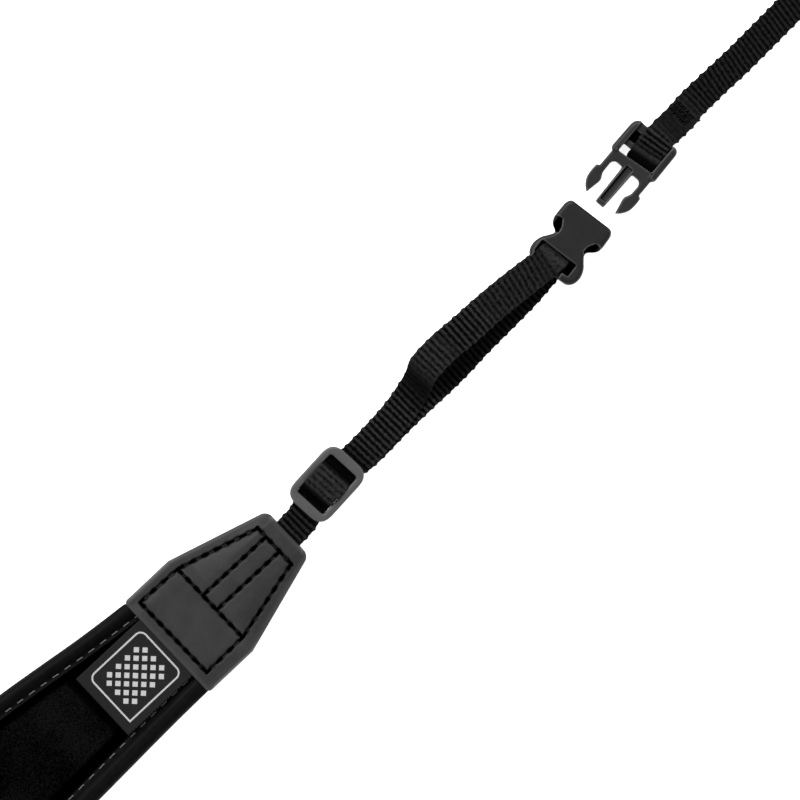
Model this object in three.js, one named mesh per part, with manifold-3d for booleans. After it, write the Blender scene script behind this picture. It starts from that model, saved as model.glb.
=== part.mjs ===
// Camera neck strap, lying flat: a contoured padded middle, and at each end a leatherette tab,
// a ribbed webbing loop with a slider, a side-release buckle standing open, and the webbing
// that goes on to the camera.
// Millimetres, +Z up. The origin is under the middle of the pad, and +X runs along the strap.
import * as THREE from 'three';
import Module from 'manifold-3d';
import { mergeVertices } from 'three/addons/utils/BufferGeometryUtils.js';

const wasm = await Module();
wasm.setup();

// ---------- driving dimensions ----------
const GAP = 0.3; // clearance kept between pieces that touch

const PAD = {
  halfLength: 200, // middle of the strap to the edge of a tab
  halfWidthMiddle: 31,
  hollow: 21, // how much nearer the hollow edge lies at the tabs than in the middle
  rise: 9, // how far the middle of the curved pad lies from the line of the straps
  thickness: 5.5,
  border: { 1: 6.9, [-1]: 8.1 }, // soft rim outside the row of stitches, on either side
  tuck: 19, // length sewn inside the tab
  tuckThickness: 2.3,
};
const PANEL = { thickness: 1.0, tuck: 6 };
const LABEL = { length: 37, width: 26.4, thickness: 0.6, outerEnd: -31.4, y: 0.7, turn: -2 };
const TAB = {
  length: 57.5,
  halfWidth: 21.35,
  straight: 20.8, // length of the parallel part over the pad
  tipHalfWidth: 10.5,
  cornerRadius: 2.4,
  nearCornerRadius: 1.7,
  skin: 1.3, // thickness of one leatherette layer
  lip: 0.9, // wall of the rolled edge
  start: -1.35,
  y: -0.35,
  turn: -1.7, // degrees
};
const WEBBING = { width: 11.2, thickness: 1.3 };
const CAMERA_WEBBING = { width: 10.5, thickness: 1.3 };
const SLIDER = {
  length: 24.6,
  width: 17.3,
  cornerRadius: 5.4,
  endBar: 3.6,
  rail: 2.5,
  bottom: 2.6,
  top: 5.6,
  endBarBottom: 3.4,
  middleBar: { width: 2.0, top: 4.0 },
  x: 77.6,
  y: 0.35,
  turn: 2.6,
};
const SOCKET = {
  height: 6.8,
  wall: 1.2,
  // Outline of one side, from the rear to the mouth. The sides differ behind the mouth.
  rear: [[-0.4, 5.2], [-0.4, 7.6], [0.6, 9.1], [2.4, 10.0], [5.2, 10.15], [7.2, 9.6], [11.2, 6.5]],
  near: [[12.8, 6.3], [14.7, 8.9], [16.2, 9.85], [22.8, 9.75], [24.0, 9.1], [24.3, 8.2]],
  far: [[12.3, 6.4], [13.4, 8.5], [15.0, 9.8], [22.8, 9.75], [24.0, 9.1], [24.3, 8.2]],
  mouth: 24.3,
  bar: { end: 2.2, bottom: 1.6, top: 3.9 },
  slot: { end: 7.4, y0: -6.2, y1: 8.7 },
  cavity: { start: 17, halfWidth: 8.4 },
  throat: { start: 8.3, halfWidth: 4.4 },
  window: { start: 8.9, end: 17 },
  x: 183.6,
  y: -1.7,
  turn: 7.5,
};
const PLUG = {
  railHeight: 5.2,
  halfWidth: 9.6,
  railInner: 6.9,
  cornerRadius: 2.2,
  shoulder: 16.3,
  length: 30.3,
  step: { end: 18.8, halfWidth: 7.4, top: 4.35 },
  crossbar: { start: 13.9, end: { 1: 17.3, [-1]: 18.1 } }, // its far side leans
  middleBar: { start: 20.8, end: 22.7 },
  farBar: { start: 26.7, end: 30.0 },
  barBottom: 1.6,
  barTop: 3.4,
  prongBottom: 0.8,
  prongTop: 4.4,
  // Outline of one sprung arm, from the crossbar round its arrow head and back.
  headShift: { 1: -0.5, [-1]: 0 }, // the head at +Y stands further out
  arm: [[9.75, 8.6], [9.6, 9.5], [6.8, 9.65], [4.6, 9.5], [2.8, 8.75], [1.2, 7.6], [-0.2, 6.15],
    [3.4, 5.4], [6.1, 5.0], [8.2, 6.15], [12.7, 6.25]],
  tongue: { tip: -1.1, tipHalfWidth: 1.8, halfWidth: 2.2 },
  channel: { start: 0.7, end: 15.3, halfWidth: 1.25, depth: 1.5 },
  x: 213.2,
  y: 2.3,
  turn: 5,
};

const radians = THREE.MathUtils.degToRad;
const { lerp, smoothstep } = THREE.MathUtils;

// ---------- materials ----------
const matte = (color, roughness) => new THREE.MeshStandardMaterial({ color, roughness, metalness: 0 });
const MATERIALS = {
  neoprene: matte('#141416', 0.55),
  suede: matte('#1c1c1e', 0.95),
  label: matte('#48494c', 0.85),
  leatherette: matte('#47474a', 0.6),
  webbing: matte('#1b1b1d', 0.8),
  slider: matte('#5e5f62', 0.45),
  socket: matte('#2b2b2e', 0.5),
  plug: matte('#434447', 0.45),
};

// ---------- solids ----------
// Volume enclosed by a triangle mesh: negative where its faces point inwards.
function signedVolume(positions, faces) {
  const [a, b, c] = [new THREE.Vector3(), new THREE.Vector3(), new THREE.Vector3()];
  let volume = 0;
  for (let i = 0; i < faces.length; i += 3) {
    a.fromArray(positions, faces[i] * 3);
    b.fromArray(positions, faces[i + 1] * 3);
    c.fromArray(positions, faces[i + 2] * 3);
    volume += a.dot(b.cross(c)) / 6;
  }
  return volume;
}

// Geometry from shared vertices and triangles, with its faces pointing outwards.
function solid(positions, faces) {
  const outward = Array.from(faces);
  if (signedVolume(positions, faces) < 0) outward.reverse();
  const geometry = new THREE.BufferGeometry();
  geometry.setAttribute('position', new THREE.Float32BufferAttribute(positions, 3));
  geometry.setIndex(outward);
  return geometry;
}

// Closed solid through rings of points. Each ring runs along its under side and back along its
// upper side, so an end is closed by joining each point to the one opposite.
function skin(rings) {
  const size = rings[0].length;
  const faces = [];
  const quad = (a, b, c, d) => faces.push(a, b, c, a, c, d);
  for (let ring = 0; ring < rings.length - 1; ring++) {
    for (let i = 0; i < size; i++) {
      const next = (i + 1) % size;
      quad(ring * size + i, (ring + 1) * size + i, (ring + 1) * size + next, ring * size + next);
    }
  }
  const last = (rings.length - 1) * size;
  for (let i = 0; i < size / 2 - 1; i++) {
    quad(i, i + 1, size - 2 - i, size - 1 - i);
    quad(last + size - 1 - i, last + size - 2 - i, last + i + 1, last + i);
  }
  return solid(rings.flat().flatMap((point) => point.toArray()), faces);
}

// Slab between an under and an upper face, from rows across it. A row has an x, and columns
// with a y and the heights of both faces there.
function slab(rows) {
  return skin(rows.map(({ x, columns }) => [
    ...columns.map(({ y, under }) => new THREE.Vector3(x, y, under)),
    ...columns.toReversed().map(({ y, over }) => new THREE.Vector3(x, y, over)),
  ]));
}

// Columns of a row on both sides of its middle, from those of one side, outermost first. Where
// the sides differ, `columns` is a function of the side.
function bothSides(columns, middle = 0) {
  const place = (side) => (typeof columns === 'function' ? columns(side) : columns)
    .map((column) => ({ ...column, y: middle + side * column.y }));
  return [...place(-1), ...place(1).toReversed()];
}

// Flat strap along a route. A stop has a place, the turn of the strap's width from +Y in degrees,
// and a width where it isn't the usual one.
function strap(route, { width, thickness }) {
  const curve = new THREE.CatmullRomCurve3(
    route.map(({ x, y, z }) => new THREE.Vector3(x, y, z)),
    false,
    'centripetal',
  );
  return skin(route.map((stop, i) => {
    const turn = radians(stop.turn);
    const along = curve.getTangent(i / (route.length - 1));
    const across = new THREE.Vector3(-Math.sin(turn), Math.cos(turn), 0);
    const up = along.clone().cross(across).normalize();
    const corner = (side, level) => new THREE.Vector3(stop.x, stop.y, stop.z)
      .addScaledVector(across, (side * (stop.width ?? width)) / 2)
      .addScaledVector(up, (level * thickness) / 2);
    return [corner(-1, -1), corner(1, -1), corner(1, 1), corner(-1, 1)];
  }));
}

// Plate with an outline in X and Y between two heights, with its rims chamfered.
function plate(shape, bottom, top, chamfer = 0) {
  const geometry = new THREE.ExtrudeGeometry(shape, {
    depth: top - bottom - 2 * chamfer,
    bevelEnabled: chamfer > 0,
    bevelThickness: chamfer,
    bevelSize: chamfer,
    bevelOffset: -chamfer,
    bevelSegments: 1,
    curveSegments: 4,
  });
  return geometry.translate(0, 0, bottom + chamfer);
}

function outline(points) {
  return new THREE.Shape(points.map(([x, y]) => new THREE.Vector2(x, y)));
}

function roundedRectangle(x0, x1, halfWidth, radius) {
  const shape = new THREE.Shape();
  shape.moveTo(x0 + radius, -halfWidth);
  shape.lineTo(x1 - radius, -halfWidth);
  shape.absarc(x1 - radius, -halfWidth + radius, radius, -Math.PI / 2, 0);
  shape.absarc(x1 - radius, halfWidth - radius, radius, 0, Math.PI / 2);
  shape.absarc(x0 + radius, halfWidth - radius, radius, Math.PI / 2, Math.PI);
  shape.absarc(x0 + radius, -halfWidth + radius, radius, Math.PI, (3 * Math.PI) / 2);
  return shape;
}

function box(x0, x1, y0, y1, z0, z1) {
  const geometry = new THREE.BoxGeometry(x1 - x0, y1 - y0, z1 - z0);
  return geometry.translate((x0 + x1) / 2, (y0 + y1) / 2, (z0 + z1) / 2);
}

function toManifold(geometry) {
  const bare = geometry.clone();
  bare.deleteAttribute('normal');
  bare.deleteAttribute('uv');
  const merged = mergeVertices(bare, 1e-4);
  return new wasm.Manifold(new wasm.Mesh({
    numProp: 3,
    vertProperties: new Float32Array(merged.attributes.position.array),
    triVerts: new Uint32Array(merged.index.array),
  }));
}

// One solid: every geometry of the first list joined, less every geometry of the second.
function carve(joined, cut) {
  let body = toManifold(joined[0]);
  for (const geometry of joined.slice(1)) body = body.add(toManifold(geometry));
  for (const geometry of cut) body = body.subtract(toManifold(geometry));
  const { vertProperties, triVerts } = body.getMesh();
  return solid(Array.from(vertProperties), Array.from(triVerts));
}

// ---------- padded middle ----------
// How far the pad is pressed down towards the tab, 0 to 1. Distances along an end are measured
// from the edge of the tab, outwards.
const press = (x) => smoothstep(x, -14, TAB.start - 1);
const padUnder = (x) => lerp(0, TAB.skin + GAP, smoothstep(x, -6, -2.6));
const tuckTop = TAB.skin + GAP + PAD.tuckThickness;
const padTop = (x) => lerp(PAD.thickness, tuckTop, press(x));
const panelTop = (x) => lerp(PAD.thickness - 0.3, tuckTop - 0.1, press(x));
const panelUnder = (x) => panelTop(x) - PANEL.thickness;
const labelUnder = (x) => panelTop(x) + GAP + 0.06;
const labelTop = (x) => labelUnder(x) + LABEL.thickness;

// Stations from the middle of the pad to its end, as distances from the edge of the tab.
const PAD_STATIONS = [-180, -160, -140, -120, -100, -80, -60, -45, -32, -22, -14, -10, -6, -2.6, -1.4, 2.2];

// The pad's hollow edge and its full edge. Both turn parallel near the tabs.
function padEdges(x) {
  const share = Math.min(1, (PAD.halfLength + x) / PAD.halfLength);
  const toTab = THREE.MathUtils.clamp(1 + x / 26, 0, 1);
  return {
    far: PAD.halfWidthMiddle - PAD.hollow * share ** 2 + 1.4 * toTab ** 1.6,
    near: -PAD.halfWidthMiddle + 1.15 * (1 - (1 - share ** 2) ** 2) - 0.3 * toTab ** 2,
  };
}
function padHalfWidth(x) {
  const { far, near } = padEdges(x);
  return (far - near) / 2 - 2 * smoothstep(x, -1.4, 2.2);
}
// The middle line of the pad: a shallow curve, then the line of the tab.
function padLine(x) {
  const { far, near } = padEdges(x);
  return (far + near) / 2 + Math.max(0, x) * Math.tan(radians(TAB.turn));
}

// Rows of a piece that follows the pad, the whole way from one end to the other.
function padRows(tuck, columnsAt) {
  const half = [...PAD_STATIONS, tuck];
  const right = half.map((x) => ({ x: PAD.halfLength + x, columns: columnsAt(x) }));
  const left = right.toReversed().map(({ x, columns }) => ({ x: -x, columns }));
  return [...left, { x: 0, columns: columnsAt(-PAD.halfLength) }, ...right];
}

function buildPadBody() {
  return slab(padRows(PAD.tuck, (x) => {
    const [half, under, top] = [padHalfWidth(x), padUnder(x), padTop(x)];
    const floor = Math.min(panelUnder(x) - GAP, top);
    const thick = top - under;
    const columns = (side) => [
      { y: half, under: under + 0.36 * thick, over: under + 0.62 * thick },
      { y: half - 0.6, under: under + 0.1 * thick, over: under + 0.86 * thick },
      { y: half - 2, under, over: top },
      { y: half - 4.6, under, over: top - 0.03 * thick },
      { y: half - PAD.border[side] + 0.7, under, over: lerp(floor, top, 0.55) },
      { y: half - PAD.border[side], under, over: floor },
    ];
    return bothSides(columns, padLine(x));
  }));
}

function buildCentrePanel() {
  return slab(padRows(PANEL.tuck, (x) => {
    const [under, over] = [panelUnder(x), panelTop(x)];
    const columns = (side) => {
      const half = padHalfWidth(x) - PAD.border[side] - GAP;
      return [
        { y: half, under, over: under + 0.35 },
        { y: half - 1.4, under, over: over - 0.12 },
        { y: half - 4, under, over },
      ];
    };
    return bothSides(columns, padLine(x));
  }));
}

function buildLabel() {
  const inner = LABEL.outerEnd + LABEL.length;
  const stations = [LABEL.outerEnd, -22, -14, -10, -6, -2.6, inner];
  return slab(stations.map((x) => ({
    x: x - LABEL.outerEnd,
    columns: [-1, 1].map((side) => ({
      y: (side * LABEL.width) / 2,
      under: labelUnder(x),
      over: labelTop(x),
    })),
  })));
}

// ---------- end tab ----------
// Half the width of the tab: parallel over the pad, then tapering to a tip with round corners.
function tabHalfWidth(x) {
  const { straight, length, halfWidth, tipHalfWidth, cornerRadius, nearCornerRadius } = TAB;
  const taper = lerp(halfWidth, tipHalfWidth, Math.max(0, (x - straight) / (length - straight)));
  const cutBy = (radius, into) => radius - Math.sqrt(radius ** 2 - Math.max(0, into) ** 2);
  return taper - cutBy(cornerRadius, x - (length - cornerRadius))
    - cutBy(nearCornerRadius, nearCornerRadius - x);
}

// Under side of the upper layer in its middle, at its sides and at the foot of its rolled edge:
// over the label, over the pad, then over the webbing.
const FOOT = TAB.skin + GAP;
const TAB_HEIGHTS = [
  { x: 0, middle: 5.15, side: 4.45, foot: 4.3 },
  { x: 0.5, middle: 5.15, side: 4.45, foot: 4.3 },
  { x: 1.7, middle: 5.15, side: 4.45, foot: 4.3 },
  { x: 4.5, middle: 5.15, side: 4.4, foot: FOOT },
  { x: 8.5, middle: 5.15, side: 4.3, foot: FOOT },
  { x: 11, middle: 4.25, side: 4.25, foot: FOOT },
  { x: 20.8, middle: 4.25, side: 4.25, foot: FOOT },
  { x: 24.2, middle: 3.25, side: FOOT, foot: FOOT },
  { x: 32, middle: 3.25, side: FOOT, foot: FOOT },
  { x: 42, middle: 3.25, side: FOOT, foot: FOOT },
  { x: 55.1, middle: 3.25, side: FOOT, foot: FOOT },
  { x: 56.5, middle: 3.25, side: FOOT, foot: FOOT },
  { x: TAB.length - 0.2, middle: 3.25, side: FOOT, foot: FOOT },
];

function buildTabUpper() {
  return slab(TAB_HEIGHTS.map(({ x, middle, side, foot }) => {
    const half = tabHalfWidth(x);
    const wing = Math.max(6.9, (16.2 * half) / TAB.halfWidth);
    const top = side + TAB.skin;
    const columns = [
      { y: half, under: foot, over: lerp(foot, top, 0.6) },
      { y: half - 0.5, under: foot, over: lerp(foot, top, 0.9) },
      { y: half - TAB.lip, under: Math.max(foot, side - 0.1), over: top },
      { y: lerp(half - TAB.lip, wing, 0.3), under: side, over: top },
      { y: wing, under: lerp(side, middle, 0.5), over: lerp(side, middle, 0.5) + TAB.skin },
      { y: wing * 0.88, under: middle, over: middle + TAB.skin },
    ];
    return { x, columns: bothSides(columns) };
  }));
}

function buildTabLower() {
  return slab(TAB_HEIGHTS.map(({ x }) => {
    const half = tabHalfWidth(x);
    const side = [
      { y: half, under: 0.35, over: TAB.skin - 0.25 },
      { y: half - 0.5, under: 0, over: TAB.skin },
    ];
    return { x, columns: bothSides(side) };
  }));
}

// ---------- webbing ----------
// From the tab, under, over and under the bars of the slider, along the top in a bow to the
// socket, round its bar, back along the bottom and round the middle bar of the slider.
const WEBBING_ROUTE = [
  { x: 23.5, y: -1.1, z: 2.26, turn: -2 },
  { x: 40, y: -1.7, z: 2.26, turn: -1 },
  { x: 56, y: -2.25, z: 2.26, turn: 0 },
  { x: 59.5, y: -2.2, z: 2, turn: -0.5 },
  { x: 63.5, y: -1.95, z: 1.5, turn: 1 },
  { x: 67.2, y: -1.5, z: 1.5, turn: 2 },
  { x: 69.6, y: -0.1, z: 2.15, turn: 3, width: 11.6 },
  { x: 71.4, y: 0.15, z: 3.7, turn: 3, width: 11.6 },
  { x: 73.2, y: 0.2, z: 5.4, turn: 3, width: 11.6 },
  { x: 75.2, y: 0.3, z: 6.55, turn: 3, width: 11.6 },
  { x: 78.4, y: 0.42, z: 6.68, turn: 3, width: 11.6 },
  { x: 81, y: 0.5, z: 6, turn: 3, width: 11.6 },
  { x: 82.6, y: 0.55, z: 4.6, turn: 3, width: 11.6 },
  { x: 84.2, y: 0.6, z: 3, turn: 3, width: 11.6 },
  { x: 85.8, y: 0.5, z: 2.35, turn: 3, width: 11.6 },
  { x: 88.2, y: -0.1, z: 2.26, turn: 2 },
  { x: 91.5, y: -0.5, z: 2.25, turn: 2 },
  { x: 100, y: -0.4, z: 2.25, turn: 1 },
  { x: 108, y: -0.05, z: 2.25, turn: 1 },
  { x: 114, y: 0.6, z: 2.25, turn: 0 },
  { x: 119.5, y: 1.65, z: 2.3, turn: -1 },
  { x: 122.6, y: 2.4, z: 3, turn: -2 },
  { x: 125.4, y: 3.4, z: 5.2, turn: 0 },
  { x: 128, y: 4.6, z: 7.6, turn: 3 },
  { x: 130.6, y: 5.1, z: 9.2, turn: 2 },
  { x: 134, y: 5.3, z: 10.1, turn: 0 },
  { x: 138, y: 5.3, z: 10.3, turn: 0 },
  { x: 144, y: 4.9, z: 10.1, turn: -2 },
  { x: 150, y: 4.4, z: 9.5, turn: -3 },
  { x: 160, y: 3.8, z: 8.3, turn: -6 },
  { x: 170, y: 2.85, z: 6.9, turn: -12 },
  { x: 178, y: 1.85, z: 5.7, turn: -15 },
  { x: 183, y: 1, z: 5.05, turn: -14, width: 10.9 },
  { x: 185.8, y: 0.8, z: 4.97, turn: -9, width: 10.9 },
  ...turnback({ x: 187.6, y: 0.45, z: 2.8 }, 2.2, 7, 1, 'down', { drift: -0.6 }),
  { x: 186, y: 0.05, z: 0.65, turn: 7 },
  { x: 183.5, y: -0.3, z: 0.65, turn: 4 },
  { x: 179, y: -0.75, z: 0.65, turn: 2 },
  { x: 172, y: -1.2, z: 0.65, turn: 0 },
  { x: 156, y: -1.3, z: 0.65, turn: -3 },
  { x: 140, y: -1.7, z: 0.65, turn: -4 },
  { x: 131, y: -1.65, z: 0.65, turn: -3 },
  { x: 122, y: -1.3, z: 0.65, turn: 0 },
  { x: 110, y: -1.1, z: 0.65, turn: 0 },
  { x: 98, y: -1.25, z: 0.65, turn: 1 },
  { x: 92, y: -1, z: 0.65, turn: 2 },
  { x: 87, y: 0.1, z: 0.65, turn: 3, width: 11.6 },
  { x: 84.5, y: 0.5, z: 0.65, turn: 3, width: 11.6 },
  { x: 81, y: 0.5, z: 0.9, turn: 3, width: 11.6 },
  ...turnback({ x: 76.85, y: 0.35, z: 3.3 }, 1.72, SLIDER.turn, -1, 'up', { width: 11.6 }),
  { x: 78.4, y: 0.4, z: 4.98, turn: 3, width: 11.6 },
  { x: 79.6, y: 0.45, z: 4.6, turn: 3, width: 11.6 },
  { x: 80.8, y: 0.5, z: 3.7, turn: 3, width: 11.6 },
  { x: 81.6, y: 0.5, z: 3.05, turn: 3, width: 11.6 },
];

// From its sewn end below the plug, round the two bars of the plug and on towards the camera.
const CAMERA_ROUTE = [
  { x: 257, y: 3.45, z: 0.65, turn: 2 },
  { x: 250, y: 3.4, z: 0.65, turn: 3 },
  { x: 245, y: 3.6, z: 0.65, turn: 4 },
  { x: 242.9, y: 4, z: 0.65, turn: 5 },
  { x: 240.3, y: 4.6, z: 0.65, turn: 5, width: 13 },
  { x: 238, y: 4.45, z: 0.65, turn: 5, width: 13 },
  { x: 236.8, y: 4.35, z: 0.65, turn: 5.5, width: 12.9 },
  ...turnback({ x: 234.1, y: 2.8, z: 2.65 }, 2.0, 8, -1, 'up', { width: 10 }),
  { x: 236, y: 2.85, z: 4.6, turn: 9 },
  { x: 238.2, y: 3.2, z: 4.25, turn: 8 },
  { x: 239.8, y: 3.35, z: 4.4, turn: 8 },
  { x: 242.4, y: 3.6, z: 4.5, turn: 8 },
  { x: 244.6, y: 3.75, z: 3.8, turn: 3 },
  { x: 247.4, y: 3.8, z: 2.7, turn: 0 },
  { x: 250.5, y: 3.7, z: 2.25, turn: -2 },
  { x: 256, y: 3.9, z: 2.25, turn: 0 },
  { x: 259.4, y: 4.05, z: 1.65, turn: 0 },
  { x: 263, y: 4, z: 0.8, turn: -2 },
  { x: 268, y: 3.85, z: 0.65, turn: -9 },
  { x: 272, y: 3.75, z: 0.65, turn: -12 },
  { x: 280, y: 3.45, z: 0.65, turn: -10 },
  { x: 290, y: 3.4, z: 0.65, turn: -8 },
  { x: 305, y: 3.45, z: 0.65, turn: -8 },
  { x: 330, y: 3.3, z: 0.65, turn: -4 },
];

// Stops of a half turn about a bar. `side` is +1 where the strap bulges outwards along the
// strap and -1 where it bulges towards the pad. It drifts sideways by `drift` on its way.
function turnback(centre, radius, turn, side, sense, { drift = 0, width } = {}) {
  const angles = [-90, -65, -40, -13, 13, 40, 65, 90];
  if (sense === 'down') angles.reverse();
  return angles.map((degrees, i) => {
    const reach = side * radius * Math.cos(radians(degrees));
    return {
      x: centre.x + reach * Math.cos(radians(turn)),
      y: centre.y + reach * Math.sin(radians(turn)) + drift * (i / (angles.length - 1) - 0.5),
      z: centre.z + radius * Math.sin(radians(degrees)),
      turn,
      width,
    };
  });
}

// ---------- slider ----------
function buildSlider() {
  const { length, width, cornerRadius, endBar, rail, bottom, top, endBarBottom, middleBar } = SLIDER;
  const half = length / 2;
  const opening = width / 2 - rail;
  const ring = roundedRectangle(-half, half, width / 2, cornerRadius);
  ring.holes.push(roundedRectangle(-half + endBar, half - endBar, opening, 1.2));
  const bar = box(-middleBar.width / 2, middleBar.width / 2, -opening - 1, opening + 1, bottom, middleBar.top);
  const reliefs = [-1, 1].map((side) => {
    const [inner, outer] = [half - endBar - 1, half + 1];
    return box(Math.min(side * inner, side * outer), Math.max(side * inner, side * outer),
      -opening - 0.9, opening + 0.9, bottom - 1, endBarBottom);
  });
  return carve([plate(ring, bottom, top, 0.5), bar], reliefs);
}

// ---------- buckle socket ----------
function buildSocket() {
  const { height, wall, mouth, bar, slot, cavity, throat, window } = SOCKET;
  const near = [...SOCKET.rear, ...SOCKET.near].map(([x, y]) => [x, -y]);
  const shape = outline([...near, ...[...SOCKET.rear, ...SOCKET.far].toReversed()]);
  const [low, high, above] = [wall, height - wall, height + 1];
  const cuts = [
    box(cavity.start, mouth + 1, -cavity.halfWidth, cavity.halfWidth, low, high),
    box(throat.start, cavity.start + 1, -throat.halfWidth, throat.halfWidth, low, high),
    box(window.start, window.end, -12, 12, low, high),
    box(bar.end, slot.end, slot.y0, slot.y1, -1, above),
    box(-1.5, bar.end + 1, slot.y0, slot.y1, -1, bar.bottom),
    box(-1.5, bar.end + 1, slot.y0, slot.y1, bar.top, above),
  ];
  const notch = [[12.4, 6.3], [14.6, 5.9], [17.2, 7.3], [16.8, 9], [15.4, 11.5], [12.4, 11.5]];
  const notches = [-1, 1].map((sign) => (
    plate(outline(notch.map(([x, y]) => [x, sign * y])), high - 0.5, above)
  ));
  return carve([plate(shape, 0, height, 0.7)], [...cuts, ...notches]);
}

// ---------- buckle plug ----------
function prongOutline() {
  const { arm, headShift, crossbar, tongue } = PLUG;
  const half = (side) => [
    [crossbar.end[side], arm[0][1]],
    ...arm.map(([x, y]) => [x < 10 ? x + headShift[side] : x, y]),
    [crossbar.start, arm.at(-1)[1] - 1.2],
    [crossbar.start, tongue.halfWidth + 1.2],
    [crossbar.start - 0.9, tongue.halfWidth],
    [tongue.tip, tongue.tipHalfWidth],
  ].map(([x, y]) => [x, side * y]);
  return outline([...half(1), ...half(-1).toReversed()]);
}

function buildPlug() {
  const p = PLUG;
  const prongs = plate(prongOutline(), p.prongBottom, p.prongTop, 0.4);
  const body = plate(
    roundedRectangle(p.shoulder, p.length, p.halfWidth, p.cornerRadius), 0, p.railHeight, 0.8,
  );
  const [beyond, inner] = [p.length + 1, p.railInner];
  const well = plate(outline([
    [p.crossbar.end[1], inner], [p.crossbar.end[-1], -inner], [beyond, -inner], [beyond, inner],
  ]), -1, p.railHeight + 1);
  const step = box(p.shoulder - 1, p.step.end, -p.step.halfWidth, p.step.halfWidth, p.step.top, p.railHeight + 1);
  const frame = carve([body], [step]);
  const reach = inner + 0.6;
  const bars = [p.middleBar, p.farBar].map(
    ({ start, end }) => box(start, end, -reach, reach, p.barBottom, p.barTop),
  );
  const channel = box(p.channel.start, p.channel.end, -p.channel.halfWidth, p.channel.halfWidth,
    p.prongTop - p.channel.depth, p.prongTop + 1);
  const hollow = carve([frame, prongs], [well, channel]);
  return carve([hollow, ...bars], []);
}

// ---------- the strap ----------
const strapGroup = new THREE.Group();

function piece(parent, name, geometry, material) {
  const mesh = new THREE.Mesh(geometry, material);
  mesh.name = name;
  parent.add(mesh);
  return mesh;
}

piece(strapGroup, 'pad_body', buildPadBody(), MATERIALS.neoprene);
piece(strapGroup, 'centre_panel', buildCentrePanel(), MATERIALS.suede);

// One end of the strap. `side` is 1 at the +X end and -1 at the other, which is its mirror image.
function addEnd(name, side) {
  const end = new THREE.Group();
  end.position.set(side * PAD.halfLength, -PAD.rise, 0);
  strapGroup.add(end);

  const add = (label, geometry, material, { x = 0, y = 0, turn = 0 } = {}) => {
    const positions = geometry.clone().scale(side, 1, 1).attributes.position.array;
    const mirrored = solid(positions, geometry.index.array);
    const mesh = piece(end, `${name}_${label}`, mirrored, material);
    mesh.position.set(side * x, y, 0);
    mesh.rotation.z = radians(side * turn);
  };

  const tab = { x: TAB.start, y: TAB.y, turn: TAB.turn };
  add('tab_upper', buildTabUpper(), MATERIALS.leatherette, tab);
  add('tab_lower', buildTabLower(), MATERIALS.leatherette, tab);
  add('webbing', strap(WEBBING_ROUTE, WEBBING), MATERIALS.webbing);
  add('slider', buildSlider(), MATERIALS.slider, SLIDER);
  add('buckle_socket', buildSocket(), MATERIALS.socket, SOCKET);
  add('buckle_plug', buildPlug(), MATERIALS.plug, PLUG);
  add('camera_webbing', strap(CAMERA_ROUTE, CAMERA_WEBBING), MATERIALS.webbing);
  return add;
}

const addRight = addEnd('right', 1);
addEnd('left', -1);
addRight('label', buildLabel(), MATERIALS.label, {
  x: LABEL.outerEnd,
  y: LABEL.y,
  turn: LABEL.turn,
});

export default strapGroup;
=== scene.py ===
# %% [markdown]
# # A camera neck strap, laid out flat
#
# A neck strap is three kinds of soft goods and one kind of hard ones. In the middle lies a long
# foam pad with a smooth stretch cover and a suede panel sewn on top. A leatherette tab is sewn
# round each end of the pad, and holds a ribbed nylon webbing. The webbing runs through a slider
# and a side-release buckle, which stands open here. This lesson makes each of them around the
# packed construction model, which fixes every size and place.

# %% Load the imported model
import math

import bmesh
import bpy
import numpy as np
from mathutils import Matrix, Vector, noise


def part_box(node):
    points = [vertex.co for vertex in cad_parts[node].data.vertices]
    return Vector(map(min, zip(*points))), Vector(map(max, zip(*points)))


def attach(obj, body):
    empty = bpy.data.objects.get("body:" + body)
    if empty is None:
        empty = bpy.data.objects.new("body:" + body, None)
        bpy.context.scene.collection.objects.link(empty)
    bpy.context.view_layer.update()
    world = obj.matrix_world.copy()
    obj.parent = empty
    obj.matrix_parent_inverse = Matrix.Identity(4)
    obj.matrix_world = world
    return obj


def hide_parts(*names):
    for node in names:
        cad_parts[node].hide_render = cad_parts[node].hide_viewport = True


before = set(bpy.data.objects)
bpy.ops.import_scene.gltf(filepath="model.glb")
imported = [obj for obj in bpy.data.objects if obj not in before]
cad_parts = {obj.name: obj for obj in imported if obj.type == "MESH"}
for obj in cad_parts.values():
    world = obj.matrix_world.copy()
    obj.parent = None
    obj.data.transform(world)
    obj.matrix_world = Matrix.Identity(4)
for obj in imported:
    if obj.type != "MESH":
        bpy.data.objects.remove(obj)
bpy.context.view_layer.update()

# %% [markdown]
# ## Units and the two ends
#
# Sizes below are millimetres, and meshes are stored in metres. The strap is symmetric, so each
# end is described once, in a frame of its own: x runs outwards from the edge of the tab and y
# across the strap, from the line of the webbing. Side 1 is the +X end and side -1 its mirror
# image. What lies turned in that frame, such as a buckle half, has a place and an angle there.
# A side of a piece is 1 where y is high and -1 where it is low.

# %% Frames
MM = 0.001
PAD_HALF_LENGTH = 200.0
STRAP_LINE = -9.0
SIDES = {"right": 1, "left": -1}


def to_row(side, points):
    """Points of one end, in millimetres, as points of the whole strap in metres."""
    x, y, z = np.asarray(points, float).reshape(-1, 3).T
    return np.column_stack([side * (PAD_HALF_LENGTH + x), y + STRAP_LINE, z]) * MM


def placed(points, at):
    """Points of a turned piece, in the frame of its end. `at` is its x, y and angle."""
    x0, y0, degrees = at
    c, s = math.cos(math.radians(degrees)), math.sin(math.radians(degrees))
    x, y, z = np.asarray(points, float).reshape(-1, 3).T
    return np.column_stack([x0 + x * c - y * s, y0 + x * s + y * c, z])


def smoothstep(value, low, high):
    share = np.clip((np.asarray(value, float) - low) / (high - low), 0, 1)
    return share * share * (3 - 2 * share)


def mix(a, b, share):
    return a + (b - a) * share


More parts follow.
